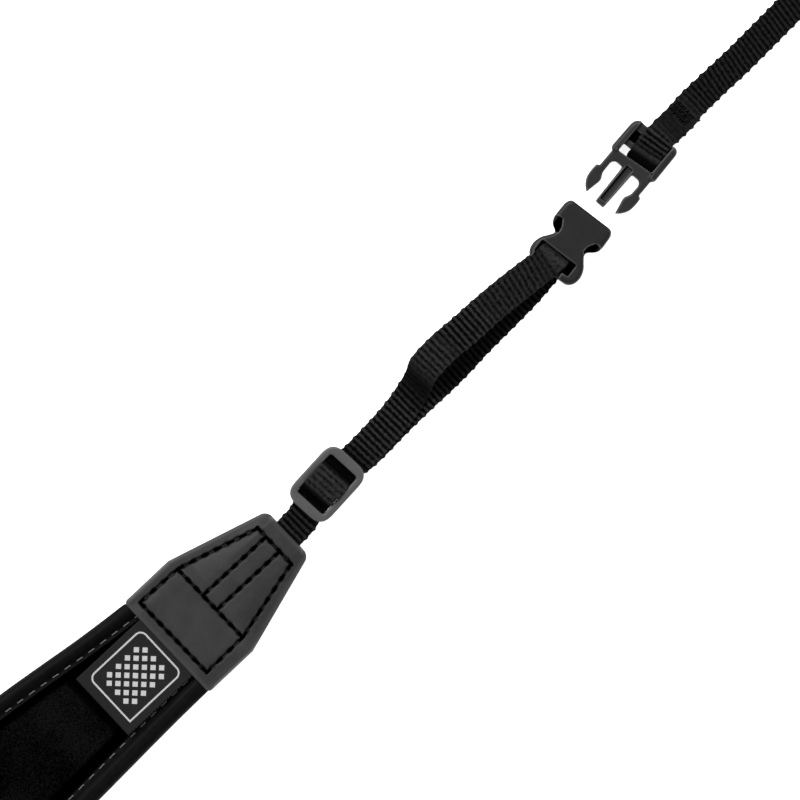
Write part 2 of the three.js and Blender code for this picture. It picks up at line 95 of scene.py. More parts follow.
def rolled(distance, reach, power=2):
    """The rise of a rounded rim, 0 at its edge and 1 from `reach` inwards."""
    return np.sqrt(np.clip(1 - (1 - np.clip(distance / reach, 0, 1)) ** power, 0, 1))


def add_object(name, data):
    made = bpy.data.objects.new(name, data)
    bpy.context.scene.collection.objects.link(made)
    return made


def evaluated_mesh(piece):
    """What the modifiers of a piece make of it, as a plain mesh."""
    depsgraph = bpy.context.evaluated_depsgraph_get()
    return bpy.data.meshes.new_from_object(piece.evaluated_get(depsgraph))


# %% [markdown]
# ## The camera
#
# The strap is seen from straight above, turned so that it climbs from the lower left to the upper
# right. A long lens from three metres up keeps the thick pieces from leaning outwards.

# %% Camera
VIEW_CENTRE = (0.3159, -0.00595)
VIEW_WIDTH = 0.2759
VIEW_HEIGHT = 3.0

camera = add_object("camera", bpy.data.cameras.new("camera"))
camera.location = (*VIEW_CENTRE, VIEW_HEIGHT)
camera.rotation_euler = (0, 0, -math.pi / 4)
camera.data.sensor_width = 36
camera.data.lens = camera.data.sensor_width * VIEW_HEIGHT / VIEW_WIDTH
camera.data.clip_end = 100
bpy.context.scene.camera = camera
print("lens, mm:", round(camera.data.lens, 1))

# %% [markdown]
# ## Meshes from rings
#
# Almost every soft piece here is a band: one section, repeated along the strap while it changes a
# little. So one helper takes an array of rings, joins each to the next with quads and closes both
# ends. It measures the enclosed volume, and turns the faces round where that is negative, which
# is what happens on one of two mirrored ends.

# %% Mesh helpers
def enclosed_volume(points, quads, ends):
    """Signed volume of a closed band: below zero when its faces look inwards."""
    fans = [(end[0], end[i], end[i + 1]) for end in ends for i in range(1, len(end) - 1)]
    corners = np.concatenate([quads[:, [0, 1, 2]], quads[:, [0, 2, 3]], np.array(fans)])
    a, b, c = (points[corners[:, i]] for i in range(3))
    return np.einsum("ij,ij->i", a, np.cross(b, c)).sum() / 6


def band(name, rings, attributes=None):
    """Closed mesh through rings of points, an array of rings by points by 3, in metres."""
    count, size = rings.shape[:2]
    points = rings.reshape(-1, 3)
    first = np.arange(count - 1)[:, None] * size + np.arange(size)[None, :]
    following = np.arange(count - 1)[:, None] * size + (np.arange(size)[None, :] + 1) % size
    quads = np.stack([first, first + size, following + size, following], -1).reshape(-1, 4)
    ends = [list(range(size)), list(range((count - 1) * size, count * size))[::-1]]
    if enclosed_volume(points, quads, ends) < 0:
        quads = quads[:, ::-1]
        ends = [end[::-1] for end in ends]
    mesh = bpy.data.meshes.new(name)
    mesh.from_pydata(points.tolist(), [], quads.tolist() + ends)
    for label, values in (attributes or {}).items():
        values = np.asarray(values, np.float32)
        single = values.size == len(points)
        layer = mesh.attributes.new(label, "FLOAT" if single else "FLOAT_VECTOR", "POINT")
        layer.data.foreach_set("value" if single else "vector", values.reshape(-1))
    mesh.shade_smooth()
    return add_object(name, mesh)


def finish_piece(piece, slot, *nodes, material=None):
    """Every piece rides on the strap's one body, and stands for the nodes that it replaces."""
    if material:
        piece.data.materials.clear()
        piece.data.materials.append(material)
    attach(piece, "root")
    if nodes:
        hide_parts(*nodes)
    triangles = sum(len(face.vertices) - 2 for face in piece.data.polygons)
    print(f"{piece.name}: {triangles} triangles")
    return piece


# %% [markdown]
# ## Node trees in a few lines
#
# Shader groups and geometry trees are built with the same helpers. `tree_with` makes a tree with
# named inputs and outputs, `node` adds a node, and `fill` sets its inputs and links those whose
# value comes from another node. A `Term` is a number in a tree: arithmetic on it adds Math nodes.

# %% Node helpers
FULL_TURN = 2 * math.pi


class Term:
    """A number in a node tree. Plain arithmetic on it adds Math nodes there."""

    def __init__(self, socket):
        self.socket = socket
        self.tree = socket.id_data

    def __add__(self, other):
        return calc("ADD", self, other)

    def __sub__(self, other):
        return calc("SUBTRACT", self, other)

    def __rsub__(self, other):
        return calc("SUBTRACT", other, self)

    def __mul__(self, other):
        return calc("MULTIPLY", self, other)

    def __truediv__(self, other):
        return calc("DIVIDE", self, other)


def fill(inputs, values):
    """Sets each named input, or links it where its value comes from another node."""
    for label, value in dict(values).items():
        value = value.socket if isinstance(value, Term) else value
        if isinstance(value, bpy.types.NodeSocket):
            value.id_data.links.new(value, inputs[label])
        else:
            inputs[label].default_value = value


def node(tree, kind, inputs=(), **settings):
    made = tree.nodes.new(kind)
    for label, value in settings.items():
        setattr(made, label, value)
    fill(made.inputs, inputs)
    return made


def calc(operation, *terms, clamp=False):
    """A Math node, in the tree of the terms that it works on."""
    tree = next(term.tree for term in terms if isinstance(term, Term))
    made = node(tree, "ShaderNodeMath", enumerate(terms), operation=operation, use_clamp=clamp)
    return Term(made.outputs[0])


def wave(turns, operation="SINE"):
    """A wave between 0 and 1 that comes round once a turn."""
    return calc(operation, turns * FULL_TURN) * 0.5 + 0.5


def eased_between(value, low, high):
    """0 below the low value, 1 above the high one, and a soft step between them."""
    return Term(node(value.tree, "ShaderNodeMapRange", {
        "Value": value, "From Min": low, "From Max": high,
    }, interpolation_type="SMOOTHSTEP").outputs[0])


def parts_of(vector):
    parts = node(vector.id_data, "ShaderNodeSeparateXYZ", {0: vector}).outputs
    return [Term(part) for part in parts]


def noise_at(place, scale, detail, roughness=0.5):
    return Term(node(place.id_data, "ShaderNodeTexNoise", {
        "Vector": place, "Scale": scale, "Detail": detail, "Roughness": roughness,
    }).outputs[0])


def tree_with(name, kind, inputs, outputs):
    """A tree, its given values and its outputs. An input is a default, or a kind of socket."""
    tree = bpy.data.node_groups.new(name, kind)
    for label, default in inputs.items():
        socket = {float: "Float", int: "Int"}.get(type(default), default)
        made = tree.interface.new_socket(label, in_out="INPUT", socket_type=f"NodeSocket{socket}")
        if socket != default:
            made.default_value = default
    for label, socket in outputs.items():
        tree.interface.new_socket(label, in_out="OUTPUT", socket_type=f"NodeSocket{socket}")
    given = tree.nodes.new("NodeGroupInput").outputs
    terms = {label: Term(given[label]) for label in inputs}
    return tree, terms, tree.nodes.new("NodeGroupOutput").inputs


# %% [markdown]
# ## Effects that several materials share
#
# Each effect is one shader group. *Speckle* gives the nap of suede and the fine stipple of
# moulded plastic and coated cloth: large soft patches and a fine grain. *Twisted strand* draws
# the ply of sewing thread. *Cloth yarns* draws the fine yarns that run along each rib of a
# webbing. Every group puts out a mask and a height, and the materials decide what to do with
# them.

# %% Shader groups
MASK_AND_HEIGHT = {"Mask": "Float", "Height": "Float"}


def attribute_in(tree, name):
    return Term(node(tree, "ShaderNodeAttribute", attribute_name=name).outputs["Fac"])


def vector_in(tree, name):
    return node(tree, "ShaderNodeAttribute", attribute_name=name).outputs["Vector"]


def speckle_group():
    tree, given, out = tree_with("speckle", "ShaderNodeTree", {
        "Patches per metre": 60.0, "Grains per metre": 2500.0, "Grain share": 0.5,
    }, MASK_AND_HEIGHT)
    place = node(tree, "ShaderNodeTexCoord").outputs["Object"]
    patches = noise_at(place, given["Patches per metre"], detail=3.0, roughness=0.55)
    grains = noise_at(place, given["Grains per metre"], detail=2.0, roughness=0.6)
    both = node(tree, "ShaderNodeMix", {
        "Factor": given["Grain share"], "A": patches, "B": grains,
    }).outputs[0]
    fill(out, {"Mask": both, "Height": grains})
    return tree


def twisted_strand_group():
    tree, given, out = tree_with("twisted strand", "ShaderNodeTree", {
        "Ply pitch": 0.7 * MM,
    }, MASK_AND_HEIGHT)
    x, y, z = parts_of(vector_in(tree, "strand"))
    ply = wave((x + (y + z)) / given["Ply pitch"])
    fill(out, {"Mask": ply, "Height": ply})
    return tree


def cloth_yarns_group():
    tree, given, out = tree_with("cloth yarns", "ShaderNodeTree", {
        "Yarn pitch": 0.42, "Slant": 0.35, "Fray": 0.3,
    }, MASK_AND_HEIGHT)
    cloth = vector_in(tree, "cloth")
    x, y, _ = parts_of(cloth)
    fray = noise_at(cloth, 1.3, detail=2.0)
    lean = x * given["Slant"] + y + fray * given["Fray"]
    yarn = wave(lean / given["Yarn pitch"])
    fill(out, {"Mask": yarn * fray, "Height": yarn})
    return tree


SPECKLE = speckle_group()
TWISTED_STRAND = twisted_strand_group()
CLOTH_YARNS = cloth_yarns_group()
print("shader groups:", [group.name for group in bpy.data.node_groups])

# %% [markdown]
# ## Materials
#
# Everything is some shade of charcoal, so what tells one material from another is how dark it is,
# how it scatters light, and its grain. Cloths are rough and hardly shine. Plastics get a plain
# gloss with a fine stipple. A surface colour is mixed between a dark and a light value by a
# group's mask, and the group's height feeds a Bump node. Values that a piece stores at its
# points then fade the colour: a painted highlight along edges, painted shade in grooves, hollows
# and folds, which also takes the shine off plastic, and the crest of a webbing's ribs, which
# leaves painted shade in the valleys between them.

# %% Material helpers
def grey(level):
    """A neutral colour from its brightness on a screen, 0 to 255."""
    share = level / 255
    linear = share / 12.92 if share <= 0.04045 else ((share + 0.055) / 1.055) ** 2.4
    return (linear, linear, linear, 1)


def start_material(name, roughness, specular):
    material = bpy.data.materials.new(name)
    material.use_nodes = True
    shader = material.node_tree.nodes["Principled BSDF"].inputs
    fill(shader, {"Roughness": roughness, "Specular IOR Level": specular})
    return material, material.node_tree, shader


def group_in(tree, group, inputs=()):
    outputs = node(tree, "ShaderNodeGroup", inputs, node_tree=group).outputs
    return {output.name: Term(output) for output in outputs}


def speckle_in(tree, patches, grains, grain_share):
    return group_in(tree, SPECKLE, {
        "Patches per metre": patches, "Grains per metre": grains, "Grain share": grain_share,
    })


def mixed(share, colour, other):
    return node(share.tree, "ShaderNodeMix", {
        "Factor": share, "A": colour, "B": other,
    }, data_type="RGBA").outputs["Result"]


def faded(mask, colour, into, low=0.0, high=1.0):
    """The colour, turned into a grey as the mask goes from low to high."""
    return mixed(eased_between(mask, low, high), colour, grey(into))


def grey_between(mask, dark, light, low=0.35, high=0.65):
    return faded(mask, grey(dark), light, low, high)


def bump(height, depth):
    """Bump of a height from 0 to 1 that stands `depth` millimetres tall."""
    return node(height.tree, "ShaderNodeBump", {
        "Height": height, "Distance": depth * MM, "Strength": 1.0,
    }).outputs[0]


def speckled(name, speckle, greys, roughness, specular, depth, **fades):
    """A material that is one speckle between two greys, faded to others by stored values."""
    material, tree, shader = start_material(name, roughness, specular)
    speck = speckle_in(tree, *speckle)
    colour = grey_between(speck["Mask"], *greys)
    for attribute, into in fades.items():
        colour = faded(attribute_in(tree, attribute), colour, into)
    fill(shader, {"Base Color": colour, "Normal": bump(speck["Height"], depth)})
    return material


# %% Coated cloth, thread and plastic
def thread(name, dark, light, roughness, specular):
    material, tree, shader = start_material(name, roughness, specular)
    ply = group_in(tree, TWISTED_STRAND)
    colour = grey_between(ply["Mask"], dark, light, 0.1, 0.9)
    fill(shader, {"Base Color": colour, "Normal": bump(ply["Height"], 0.06)})
    return material


def plastic(name, dark, light, edge, specular):
    """Moulded plastic, with a painted highlight along its convex edges. In the painted shade of
    its cavities it is dark and doesn't shine.
    """
    material = speckled(name, (160, 4200, 0.5), (dark, light), 0.45, specular, 0.008,
                        rubbed=edge, deep=0)
    tree = material.node_tree
    # Painted shade also takes the shine off the plastic.
    shine = (1.0 - attribute_in(tree, "deep")) * specular
    fill(tree.nodes["Principled BSDF"].inputs, {"Specular IOR Level": shine})
    return material


STRETCH_CLOTH = speckled("stretch cloth", (500, 3200, 0.35), (3, 8), 0.55, 0.06, 0.03)
# Leatherette has a painted highlight on its rims and painted shade in its seams.
LEATHERETTE = speckled("leatherette", (140, 2100, 0.4), (44, 51), 0.5, 0.12, 0.02,
                       rubbed=66, deep=0)
LIGHT_THREAD = thread("light thread", 60, 112, 0.6, 0.3)
BLACK_THREAD = thread("black thread", 0, 2, 1.0, 0.0)
# Each plastic's third grey is its painted edge highlight.
SLIDER_PLASTIC = plastic("slider plastic", 66, 75, 84, 0.28)
SOCKET_PLASTIC = plastic("socket plastic", 16, 25, 66, 0.22)
PLUG_PLASTIC = plastic("plug plastic", 20, 30, 74, 0.26)


# %% Suede and webbing
def suede():
    """Napped cloth. Brushed one way or another, it is paler in specks. Its edges lie in shadow."""
    material, tree, shader = start_material("suede", 0.95, 0.0)
    speck = speckle_in(tree, 1500, 2800, 0.4)
    brushed = noise_at(node(tree, "ShaderNodeTexCoord").outputs["Object"], 55.0, detail=2.0)
    colour = grey_between((brushed - 0.5) * 0.35 + speck["Mask"], 0, 18, 0.36, 0.68)
    colour = faded(attribute_in(tree, "deep"), colour, 0)
    fill(shader, {"Base Color": colour, "Normal": bump(speck["Height"], 0.25)})
    return material


def ribbed_nylon():
    """Valleys between the ribs are darker than the crests, as painted shade. Yarns run along the
    ribs, and wear makes them uneven.
    """
    material, tree, shader = start_material("ribbed nylon", 0.7, 0.03)
    wear = noise_at(vector_in(tree, "cloth"), 0.9, detail=3.0)
    yarn = group_in(tree, CLOTH_YARNS)
    # The crest lifts the colour, which leaves painted shade in the rib valleys.
    lifted = yarn["Mask"] * 0.35 + attribute_in(tree, "crest") + (wear - 0.5) * 1.6
    colour = grey_between(lifted, 0, 47, 0.3, 1.35)
    # Painted shade darkens the band in folds, in the fittings and under the bow.
    colour = faded(attribute_in(tree, "deep"), colour, 0)
    fill(shader, {"Base Color": colour, "Normal": bump(yarn["Height"], 0.05)})
    return material


SUEDE = suede()
WEBBING_CLOTH = ribbed_nylon()
print("materials:", [material.name for material in bpy.data.materials])

# %% [markdown]
# ## The pad
#
# The pad is a flat slab of foam, covered in stretch cloth and stitched right round, 6 mm inside
# its edge. Outside the stitches the foam keeps its thickness and rounds over like a cushion's
# rim. At the stitches the cloth is pulled down into a channel, and each stitch draws a dimple.
# A section that changes smoothly along the strap describes all that, so the pad is a band: its
# half width shrinks from 31 mm in the middle to 21 mm at the tabs while its middle line dips by
# 9 mm. Foam that is glued to its cover doesn't billow, so the small unevenness of a sewn edge
# comes from noise on the section, not from a pressure simulation.

# %% Pad dimensions
PAD_BOX = [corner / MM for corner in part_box("pad_body")]
PAD_THICKNESS = PAD_BOX[1].z
PAD_MIDDLE_HALF_WIDTH = PAD_BOX[1].y
PAD_END = PAD_BOX[1].x - PAD_HALF_LENGTH
FAR_EDGE_SWEEP, NEAR_EDGE_SWEEP = 21.0, 1.15    # how far the edges come in towards the tabs
PARALLEL_RUN = 26                               # over this length before each tab they even out
PRESSED_FROM = -14                              # the tab presses the pad down from here on
TAB_SKIN = 1.3
CLEARANCE = 0.3
TUCKED_THICKNESS = 2.3
TAB_AT = (-1.35, -0.35, -1.7)                   # x, y and degrees in the frame of its end
STITCH_INSETS = {1: 6.0, -1: 7.5}               # from the far edge and from the near one
STITCH_PITCH = 5.0
PANEL_INSETS = {1: 7.2, -1: 8.4}
PANEL_THICKNESS = 1.0
LABEL_AT = (-31.4, 0.7, -2.0)


def pad_edges(along):
    """Where the hollow and the full edge of the pad run. They turn parallel near the tabs."""
    share = np.minimum(1, np.abs(along) / PAD_HALF_LENGTH)
    to_tab = np.clip(1 + (np.abs(along) - PAD_HALF_LENGTH) / PARALLEL_RUN, 0, 1)
    far = PAD_MIDDLE_HALF_WIDTH - FAR_EDGE_SWEEP * share**2 + 1.4 * to_tab**1.6
    near_sweep = NEAR_EDGE_SWEEP * (1 - (1 - share**2) ** 2)
    near = -PAD_MIDDLE_HALF_WIDTH + near_sweep - 0.3 * to_tab**2
    return far, near


def pad_half_width(along):
    far, near = pad_edges(along)
    return (far - near) / 2 - 2 * smoothstep(np.abs(along) - PAD_HALF_LENGTH, -1.4, 2.2)


def pad_line(along):
    far, near = pad_edges(along)
    beyond = np.maximum(0, np.abs(along) - PAD_HALF_LENGTH)
    return (far + near) / 2 + beyond * math.tan(math.radians(TAB_AT[2]))


def pressed(along):
    """How far the tab has pressed the pad down, 0 to 1."""
    return smoothstep(np.abs(along) - PAD_HALF_LENGTH, PRESSED_FROM, TAB_AT[0] - 1)


def pad_under(along):
    return (TAB_SKIN + CLEARANCE) * smoothstep(np.abs(along) - PAD_HALF_LENGTH, -6, -2.6)


TUCKED_TOP = TAB_SKIN + CLEARANCE + TUCKED_THICKNESS


def pad_top(along):
    return mix(PAD_THICKNESS, TUCKED_TOP, pressed(along))


def panel_top(along):
    return mix(PAD_THICKNESS - CLEARANCE, TUCKED_TOP - 0.1, pressed(along))


def wander(points, scale, seed):
    """Smooth noise from -1 to 1 at points in millimetres, whose features are `scale` wide."""
    shift = Vector((seed * 17.3, seed * 5.1, seed * 9.7))
    return np.array([noise.noise(Vector(point) / scale + shift) for point in points])


print("pad, mm: half length", round(PAD_END + PAD_HALF_LENGTH, 1), "thickness", PAD_THICKNESS)


# %% Pad mesh
RIM_INSETS = [0.0, 0.06, 0.22, 0.5, 0.9, 1.4, 2.0, 2.7, 3.4, 4.1, 4.7, 5.2, 5.6, 5.9, 6.2, 6.5,
              6.9, 7.4, 8.2, 9.5, 11.5]
UNDER_INSETS = [0.06, 0.25, 0.6, 1.1, 1.8, 3.0, 4.5, 5.3, 5.8, 6.1, 6.4, 6.9, 8.0, 11.5]
INNER_SHARES = [0.8, 0.6, 0.4, 0.2]
PAD_STEP = 1.25
TOP_DIMPLE, UNDER_DIMPLE, DIMPLE_REACH = 0.25, 0.35, 0.75
TOP_RIM, UNDER_RIM = (3.0, 2.3), (2.4, 2.2)     # reach and power of the rounding
CHANNEL_SLOPE = (-3.0, 0.2)                     # where the cloth goes down, from the stitches
PAD_WAVES = [(0.12, 16, 1), (0.07, 6, 2)]       # height, width and seed


def across_pad(insets, half):
    """Distances from the middle line, from one edge to the other, for rows of half widths."""
    rim = [half - inset for inset in insets]
    inner = [rim[-1] * share for share in INNER_SHARES]
    right = rim + inner
    return np.stack([-side for side in right] + [0 * half] + right[::-1], 1)


def stitch_inset(across):
    """How far inside the edge the nearer row of stitches runs."""
    return np.where(across > 0, STITCH_INSETS[1], STITCH_INSETS[-1])


def stitch_dimple(along, across, inset):
    """1 where a stitch pulls the cloth down, less between stitches, and 0 away from the row."""
    beat = 0.7 + 0.3 * np.cos(2 * math.pi * along / STITCH_PITCH)
    return beat * np.exp(-((inset - stitch_inset(across)) / DIMPLE_REACH) ** 2)


def build_pad():
    """The pad as a band whose section is its under face, then its top face back again."""
    reach = PAD_HALF_LENGTH + PAD_END
    along = np.linspace(-reach, reach, 2 * round(reach / PAD_STEP) + 1)
    half, line = pad_half_width(along), pad_line(along)
    bottom, top = pad_under(along)[:, None], pad_top(along)[:, None]
    floor = np.minimum(panel_top(along) - PANEL_THICKNESS - CLEARANCE, pad_top(along))[:, None]
    thick = top - bottom
    run = along[:, None]

    across = across_pad(RIM_INSETS, half)
    inset = half[:, None] - np.abs(across)
    height = mix(bottom + 0.5 * thick, top, rolled(inset, *TOP_RIM))
    slope = smoothstep(inset - stitch_inset(across), *CHANNEL_SLOPE)
    height = mix(height, floor, slope)
    height -= TOP_DIMPLE * stitch_dimple(run, across, inset)
    upper = np.stack([run + 0 * across, line[:, None] + across, height], -1)

    across = across_pad(UNDER_INSETS, half)
    inset = half[:, None] - np.abs(across)
    height = mix(bottom + 0.5 * thick, bottom, rolled(inset, *UNDER_RIM))
    height += UNDER_DIMPLE * stitch_dimple(run, across, inset)
    lower = np.stack([run + 0 * across, line[:, None] + across, height], -1)

    rings = np.concatenate([lower, upper[:, ::-1]], 1)
    flat = rings.reshape(-1, 3)
    lift = sum(height * wander(flat, wide, seed) for height, wide, seed in PAD_WAVES)
    free = (flat[:, 2] > 1.2) * (np.abs(flat[:, 0]) < PAD_HALF_LENGTH - 3)
    flat[:, 2] += lift * free
    flat[:, 1] += 0.5 * lift * free
    return band("pad_cover", rings * MM)


pad_cover = finish_piece(build_pad(), "neoprene", "pad_body", material=STRETCH_CLOTH)

# %% [markdown]
# ## The suede panel
#
# A strip of dark suede lies on the pad, inside the channel. It is one cut sheet whose edges dip
# under the row of stitches. Its nap catches the light in soft patches, which the material gives,
# and the sheet itself is only slightly uneven.


# %% Suede panel mesh
PANEL_TUCK = 6.0
PANEL_STEP = 1.5
PANEL_EDGE_DROP, PANEL_EDGE_THICKNESS = 0.62, 0.3
PANEL_WAVE = (0.06, 5, 3)                       # height, width and seed
EDGE_SHADE, LABEL_SHADE = 0.95, 0.8
PANEL_GRID_INSETS = [0.0, 0.15, 0.5, 1.0, 1.6, 2.4, 3.4, 4.6, 6.5, 9.0]


def build_panel():
    """The panel's mesh, its length, and the area that is cut for it."""
    reach = PAD_HALF_LENGTH + PANEL_TUCK
    along = np.arange(-reach, reach + 0.1, PANEL_STEP)
    half = pad_half_width(along) - (PANEL_INSETS[1] + PANEL_INSETS[-1]) / 2
    line = pad_line(along) + (PANEL_INSETS[-1] - PANEL_INSETS[1]) / 2
    top = panel_top(along)[:, None]
    across = across_pad(PANEL_GRID_INSETS, half)
    inset = half[:, None] - np.abs(across)
    drop = PANEL_EDGE_DROP * (1 - smoothstep(inset, -0.6, 3.6))
    upper = np.stack([along[:, None] + 0 * across, line[:, None] + across, top - drop], -1)
    lower = upper.copy()
    lower[:, :, 2] = top - PANEL_THICKNESS + 0 * across
    upper[:, [0, -1], 2] = lower[:, [0, -1], 2] + PANEL_EDGE_THICKNESS
    rings = np.concatenate([lower, upper[:, ::-1]], 1)
    flat = rings.reshape(-1, 3)
    height, wide, seed = PANEL_WAVE
    flat[:, 2] += height * wander(flat, wide, seed) * (flat[:, 2] > PAD_THICKNESS - 0.6)
    cut_area = 2 * np.sum(half) * PANEL_STEP
    x, y = flat[:, 0], flat[:, 1] - np.interp(flat[:, 0], along, line)
    to_edge = np.interp(x, along, half) - np.abs(y)
    starts, full = np.where(y > 0, 4.0, 5.2), np.where(y > 0, 2.2, 3.0)
    # Painted shade where the panel dips under the stitches, and just before the label.
    deep = EDGE_SHADE * smoothstep(to_edge, starts, full)
    before_label = x - PAD_HALF_LENGTH - LABEL_AT[0]
    deep = np.maximum(deep, LABEL_SHADE * smoothstep(before_label, -4.5, -2.0))
    return band("suede_panel", rings * MM, {"deep": deep}), 2 * reach, cut_area


suede_panel, panel_length, panel_area = build_panel()
finish_piece(suede_panel, "suede", "centre_panel", material=SUEDE)

# %% [markdown]
# ## Rows of stitches
#
# A row of stitches is one short arch of thread, repeated at a pitch along a seam. Geometry Nodes
# do that well: the tree turns a seam line into points at that pitch, sets a small thread arch on
# each, turned along the seam, and makes real meshes of them. The seams are plain polylines that
# follow the cloth. The same tree sews the pad, the tabs and, with its stitches turned across the
# seam, the bar tack that closes the webbing.


# %% Stitch tree
def finished(tree, geometry, material):
    """The last steps of a geometry tree: smooth shading and the material."""
    smooth = node(tree, "GeometryNodeSetShadeSmooth", {0: geometry}).outputs[0]
    return node(tree, "GeometryNodeSetMaterial", {
        "Geometry": smooth, "Material": material,
    }).outputs[0]


def stitch_tree():
    """Arches of thread along a seam, each a little uneven in length and direction."""
    tree, given, out = tree_with("row of stitches", "GeometryNodeTree", {
        "Seam": "Geometry", "Pitch": STITCH_PITCH * MM, "Stitch length": 3.0 * MM,
        "Thread": 0.6 * MM, "Lift": 0.2 * MM, "Turn": 0.0, "Unevenness": 0.05, "Seed": 1,
        "Material": "Material",
    }, {"Stitches": "Geometry"})
    seam = node(tree, "GeometryNodeMeshToCurve", {"Mesh": given["Seam"]}).outputs[0]
    points = node(tree, "GeometryNodeCurveToPoints", {
        "Curve": seam, "Length": given["Pitch"],
    }, mode="LENGTH").outputs

    half = given["Stitch length"] * 0.5
    sunk = given["Lift"] * -1.2
    start = node(tree, "ShaderNodeCombineXYZ", {0: half * -1.0, 2: sunk}).outputs[0]
    middle = node(tree, "ShaderNodeCombineXYZ", {2: given["Lift"] * 2.2}).outputs[0]
    end = node(tree, "ShaderNodeCombineXYZ", {0: half, 2: sunk}).outputs[0]
    arch = node(tree, "GeometryNodeCurveQuadraticBezier", {
        "Resolution": 6, "Start": start, "Middle": middle, "End": end,
    }).outputs[0]
    section = node(tree, "GeometryNodeCurvePrimitiveCircle", {
        "Resolution": 8, "Radius": given["Thread"] * 0.5,
    }).outputs[0]
    strand = node(tree, "GeometryNodeCurveToMesh", {
        "Curve": arch, "Profile Curve": section, "Fill Caps": True,
    }).outputs[0]
    strand = node(tree, "GeometryNodeStoreNamedAttribute", {
        "Geometry": strand, "Name": "strand",
        "Value": node(tree, "GeometryNodeInputPosition").outputs[0],
    }, data_type="FLOAT_VECTOR").outputs[0]

    facing = node(tree, "FunctionNodeAlignRotationToVector", {
        "Vector": points["Tangent"],
    }, axis="X").outputs[0]
    facing = node(tree, "FunctionNodeAlignRotationToVector", {
        "Rotation": facing, "Vector": (0, 0, 1),
    }, axis="Z", pivot_axis="X").outputs[0]
    chance = Term(node(tree, "FunctionNodeRandomValue", {
        2: given["Unevenness"] * -1.0, 3: given["Unevenness"], "Seed": given["Seed"],
    }).outputs[1])
    swing = node(tree, "ShaderNodeCombineXYZ", {2: given["Turn"] + chance}).outputs[0]
    facing = node(tree, "FunctionNodeRotateRotation", {
        0: facing, 1: node(tree, "FunctionNodeEulerToRotation", {0: swing}).outputs[0],
    }, rotation_space="LOCAL").outputs[0]
    size = node(tree, "ShaderNodeCombineXYZ", {0: chance + 1.0, 1: 1.0, 2: 1.0}).outputs[0]
    sewn = node(tree, "GeometryNodeInstanceOnPoints", {
        "Points": points["Points"], "Instance": strand, "Rotation": facing, "Scale": size,
    }).outputs[0]
    sewn = node(tree, "GeometryNodeRealizeInstances", {0: sewn}).outputs[0]
    fill(out, {"Stitches": finished(tree, sewn, given["Material"])})
    return tree


def grown(piece, tree, sizes):
    """Runs a geometry tree on a piece and keeps its result as the piece's plain mesh."""
    modifier = piece.modifiers.new(tree.name, "NODES")
    modifier.node_group = tree
    for label, value in sizes.items():
        modifier[tree.interface.items_tree[label].identifier] = value
    mesh = evaluated_mesh(piece)
    piece.modifiers.clear()
    piece.data = mesh
    return piece


def seam_piece(name, lines):
    """A piece of polylines, each an array of points in metres."""
    points = np.concatenate(lines)
    edges, start = [], 0
    for line in lines:
        edges += [(start + i, start + i + 1) for i in range(len(line) - 1)]
        start += len(line)
    mesh = bpy.data.meshes.new(name)
    mesh.from_pydata(points.tolist(), edges, [])
    return add_object(name, mesh)


STITCHES = stitch_tree()


# %% Stitches of the pad
def sew_pad():
    """Both rows of stitches, in the channel on the top face and in the under face."""
    along = np.arange(-(PAD_HALF_LENGTH - 0.5), PAD_HALF_LENGTH, 1.0)
    top_lines, under_lines = [], []
    for edge in (-1, 1):
        across = pad_line(along) + edge * (pad_half_width(along) - STITCH_INSETS[edge])
        floor = panel_top(along) - PANEL_THICKNESS - CLEARANCE
        top_lines.append(np.stack([along, across, floor + 0.35], 1) * MM)
        under_lines.append(np.stack([along, across, pad_under(along) + 0.22], 1) * MM)
    sizes = {"Pitch": STITCH_PITCH * MM, "Stitch length": 2.3 * MM, "Thread": 0.5 * MM,
             "Unevenness": 0.05, "Seed": 3, "Material": LIGHT_THREAD}
    return [grown(seam_piece(f"pad_stitches_{face}", lines), STITCHES,
                  {**sizes, "Lift": lift * MM})
            for face, lines, lift in (("top", top_lines, 0.22), ("under", under_lines, -0.12))]


for stitches in sew_pad():
    finish_piece(stitches, "neoprene")

# %% [markdown]
# ## The woven label
#
# A small label, woven in light and dark yarn, is caught under the right tab. It is a flat sheet
# with a slightly toothed selvedge. Its pattern is a round-cornered frame around a plain lattice of
# diamonds. The frame's distance to each point is worked out in the material from the piece's own
# coordinates, so its line stays sharp at any distance, and the mesh raises the same lines a
# little.

# %% Label dimensions
LABEL_LENGTH = 37.0
LABEL_WIDTH = 26.4
LABEL_THICKNESS = 0.6
SELVEDGE_PITCH = 1.25
FRAME_CENTRE = (15.85, 0.22)
FRAME_HALF = (12.15, 10.25)
FRAME_RADIUS = 2.5
FRAME_LINE = 0.6
LATTICE_PITCH = 4.2
LATTICE_FIELDS = [
    # shift of the row, half length and half width of the field that it fills
    (0.0, 9.9, 6.0),
    (2.1, 8.0, 8.0),
]


def label_frame(x, y):
    """Distance from the line of the frame, in millimetres. One corner of it is sharp."""
    dx, dy = x - FRAME_CENTRE[0], y - FRAME_CENTRE[1]
    radius = np.where((dx < 0) & (dy < 0), 0.15, FRAME_RADIUS)
    qx, qy = np.abs(dx) - FRAME_HALF[0] + radius, np.abs(dy) - FRAME_HALF[1] + radius
    outside = np.hypot(np.maximum(qx, 0), np.maximum(qy, 0)) + np.minimum(np.maximum(qx, qy), 0)
    return np.abs(outside - radius)


# %% Label mesh
LABEL_STEP = 0.25
LABEL_FLOAT = CLEARANCE + 0.06
WEAVE_PITCH = 0.75
LINE_RELIEF, WEAVE_RELIEF, TOOTH = 0.09, 0.025, 0.24


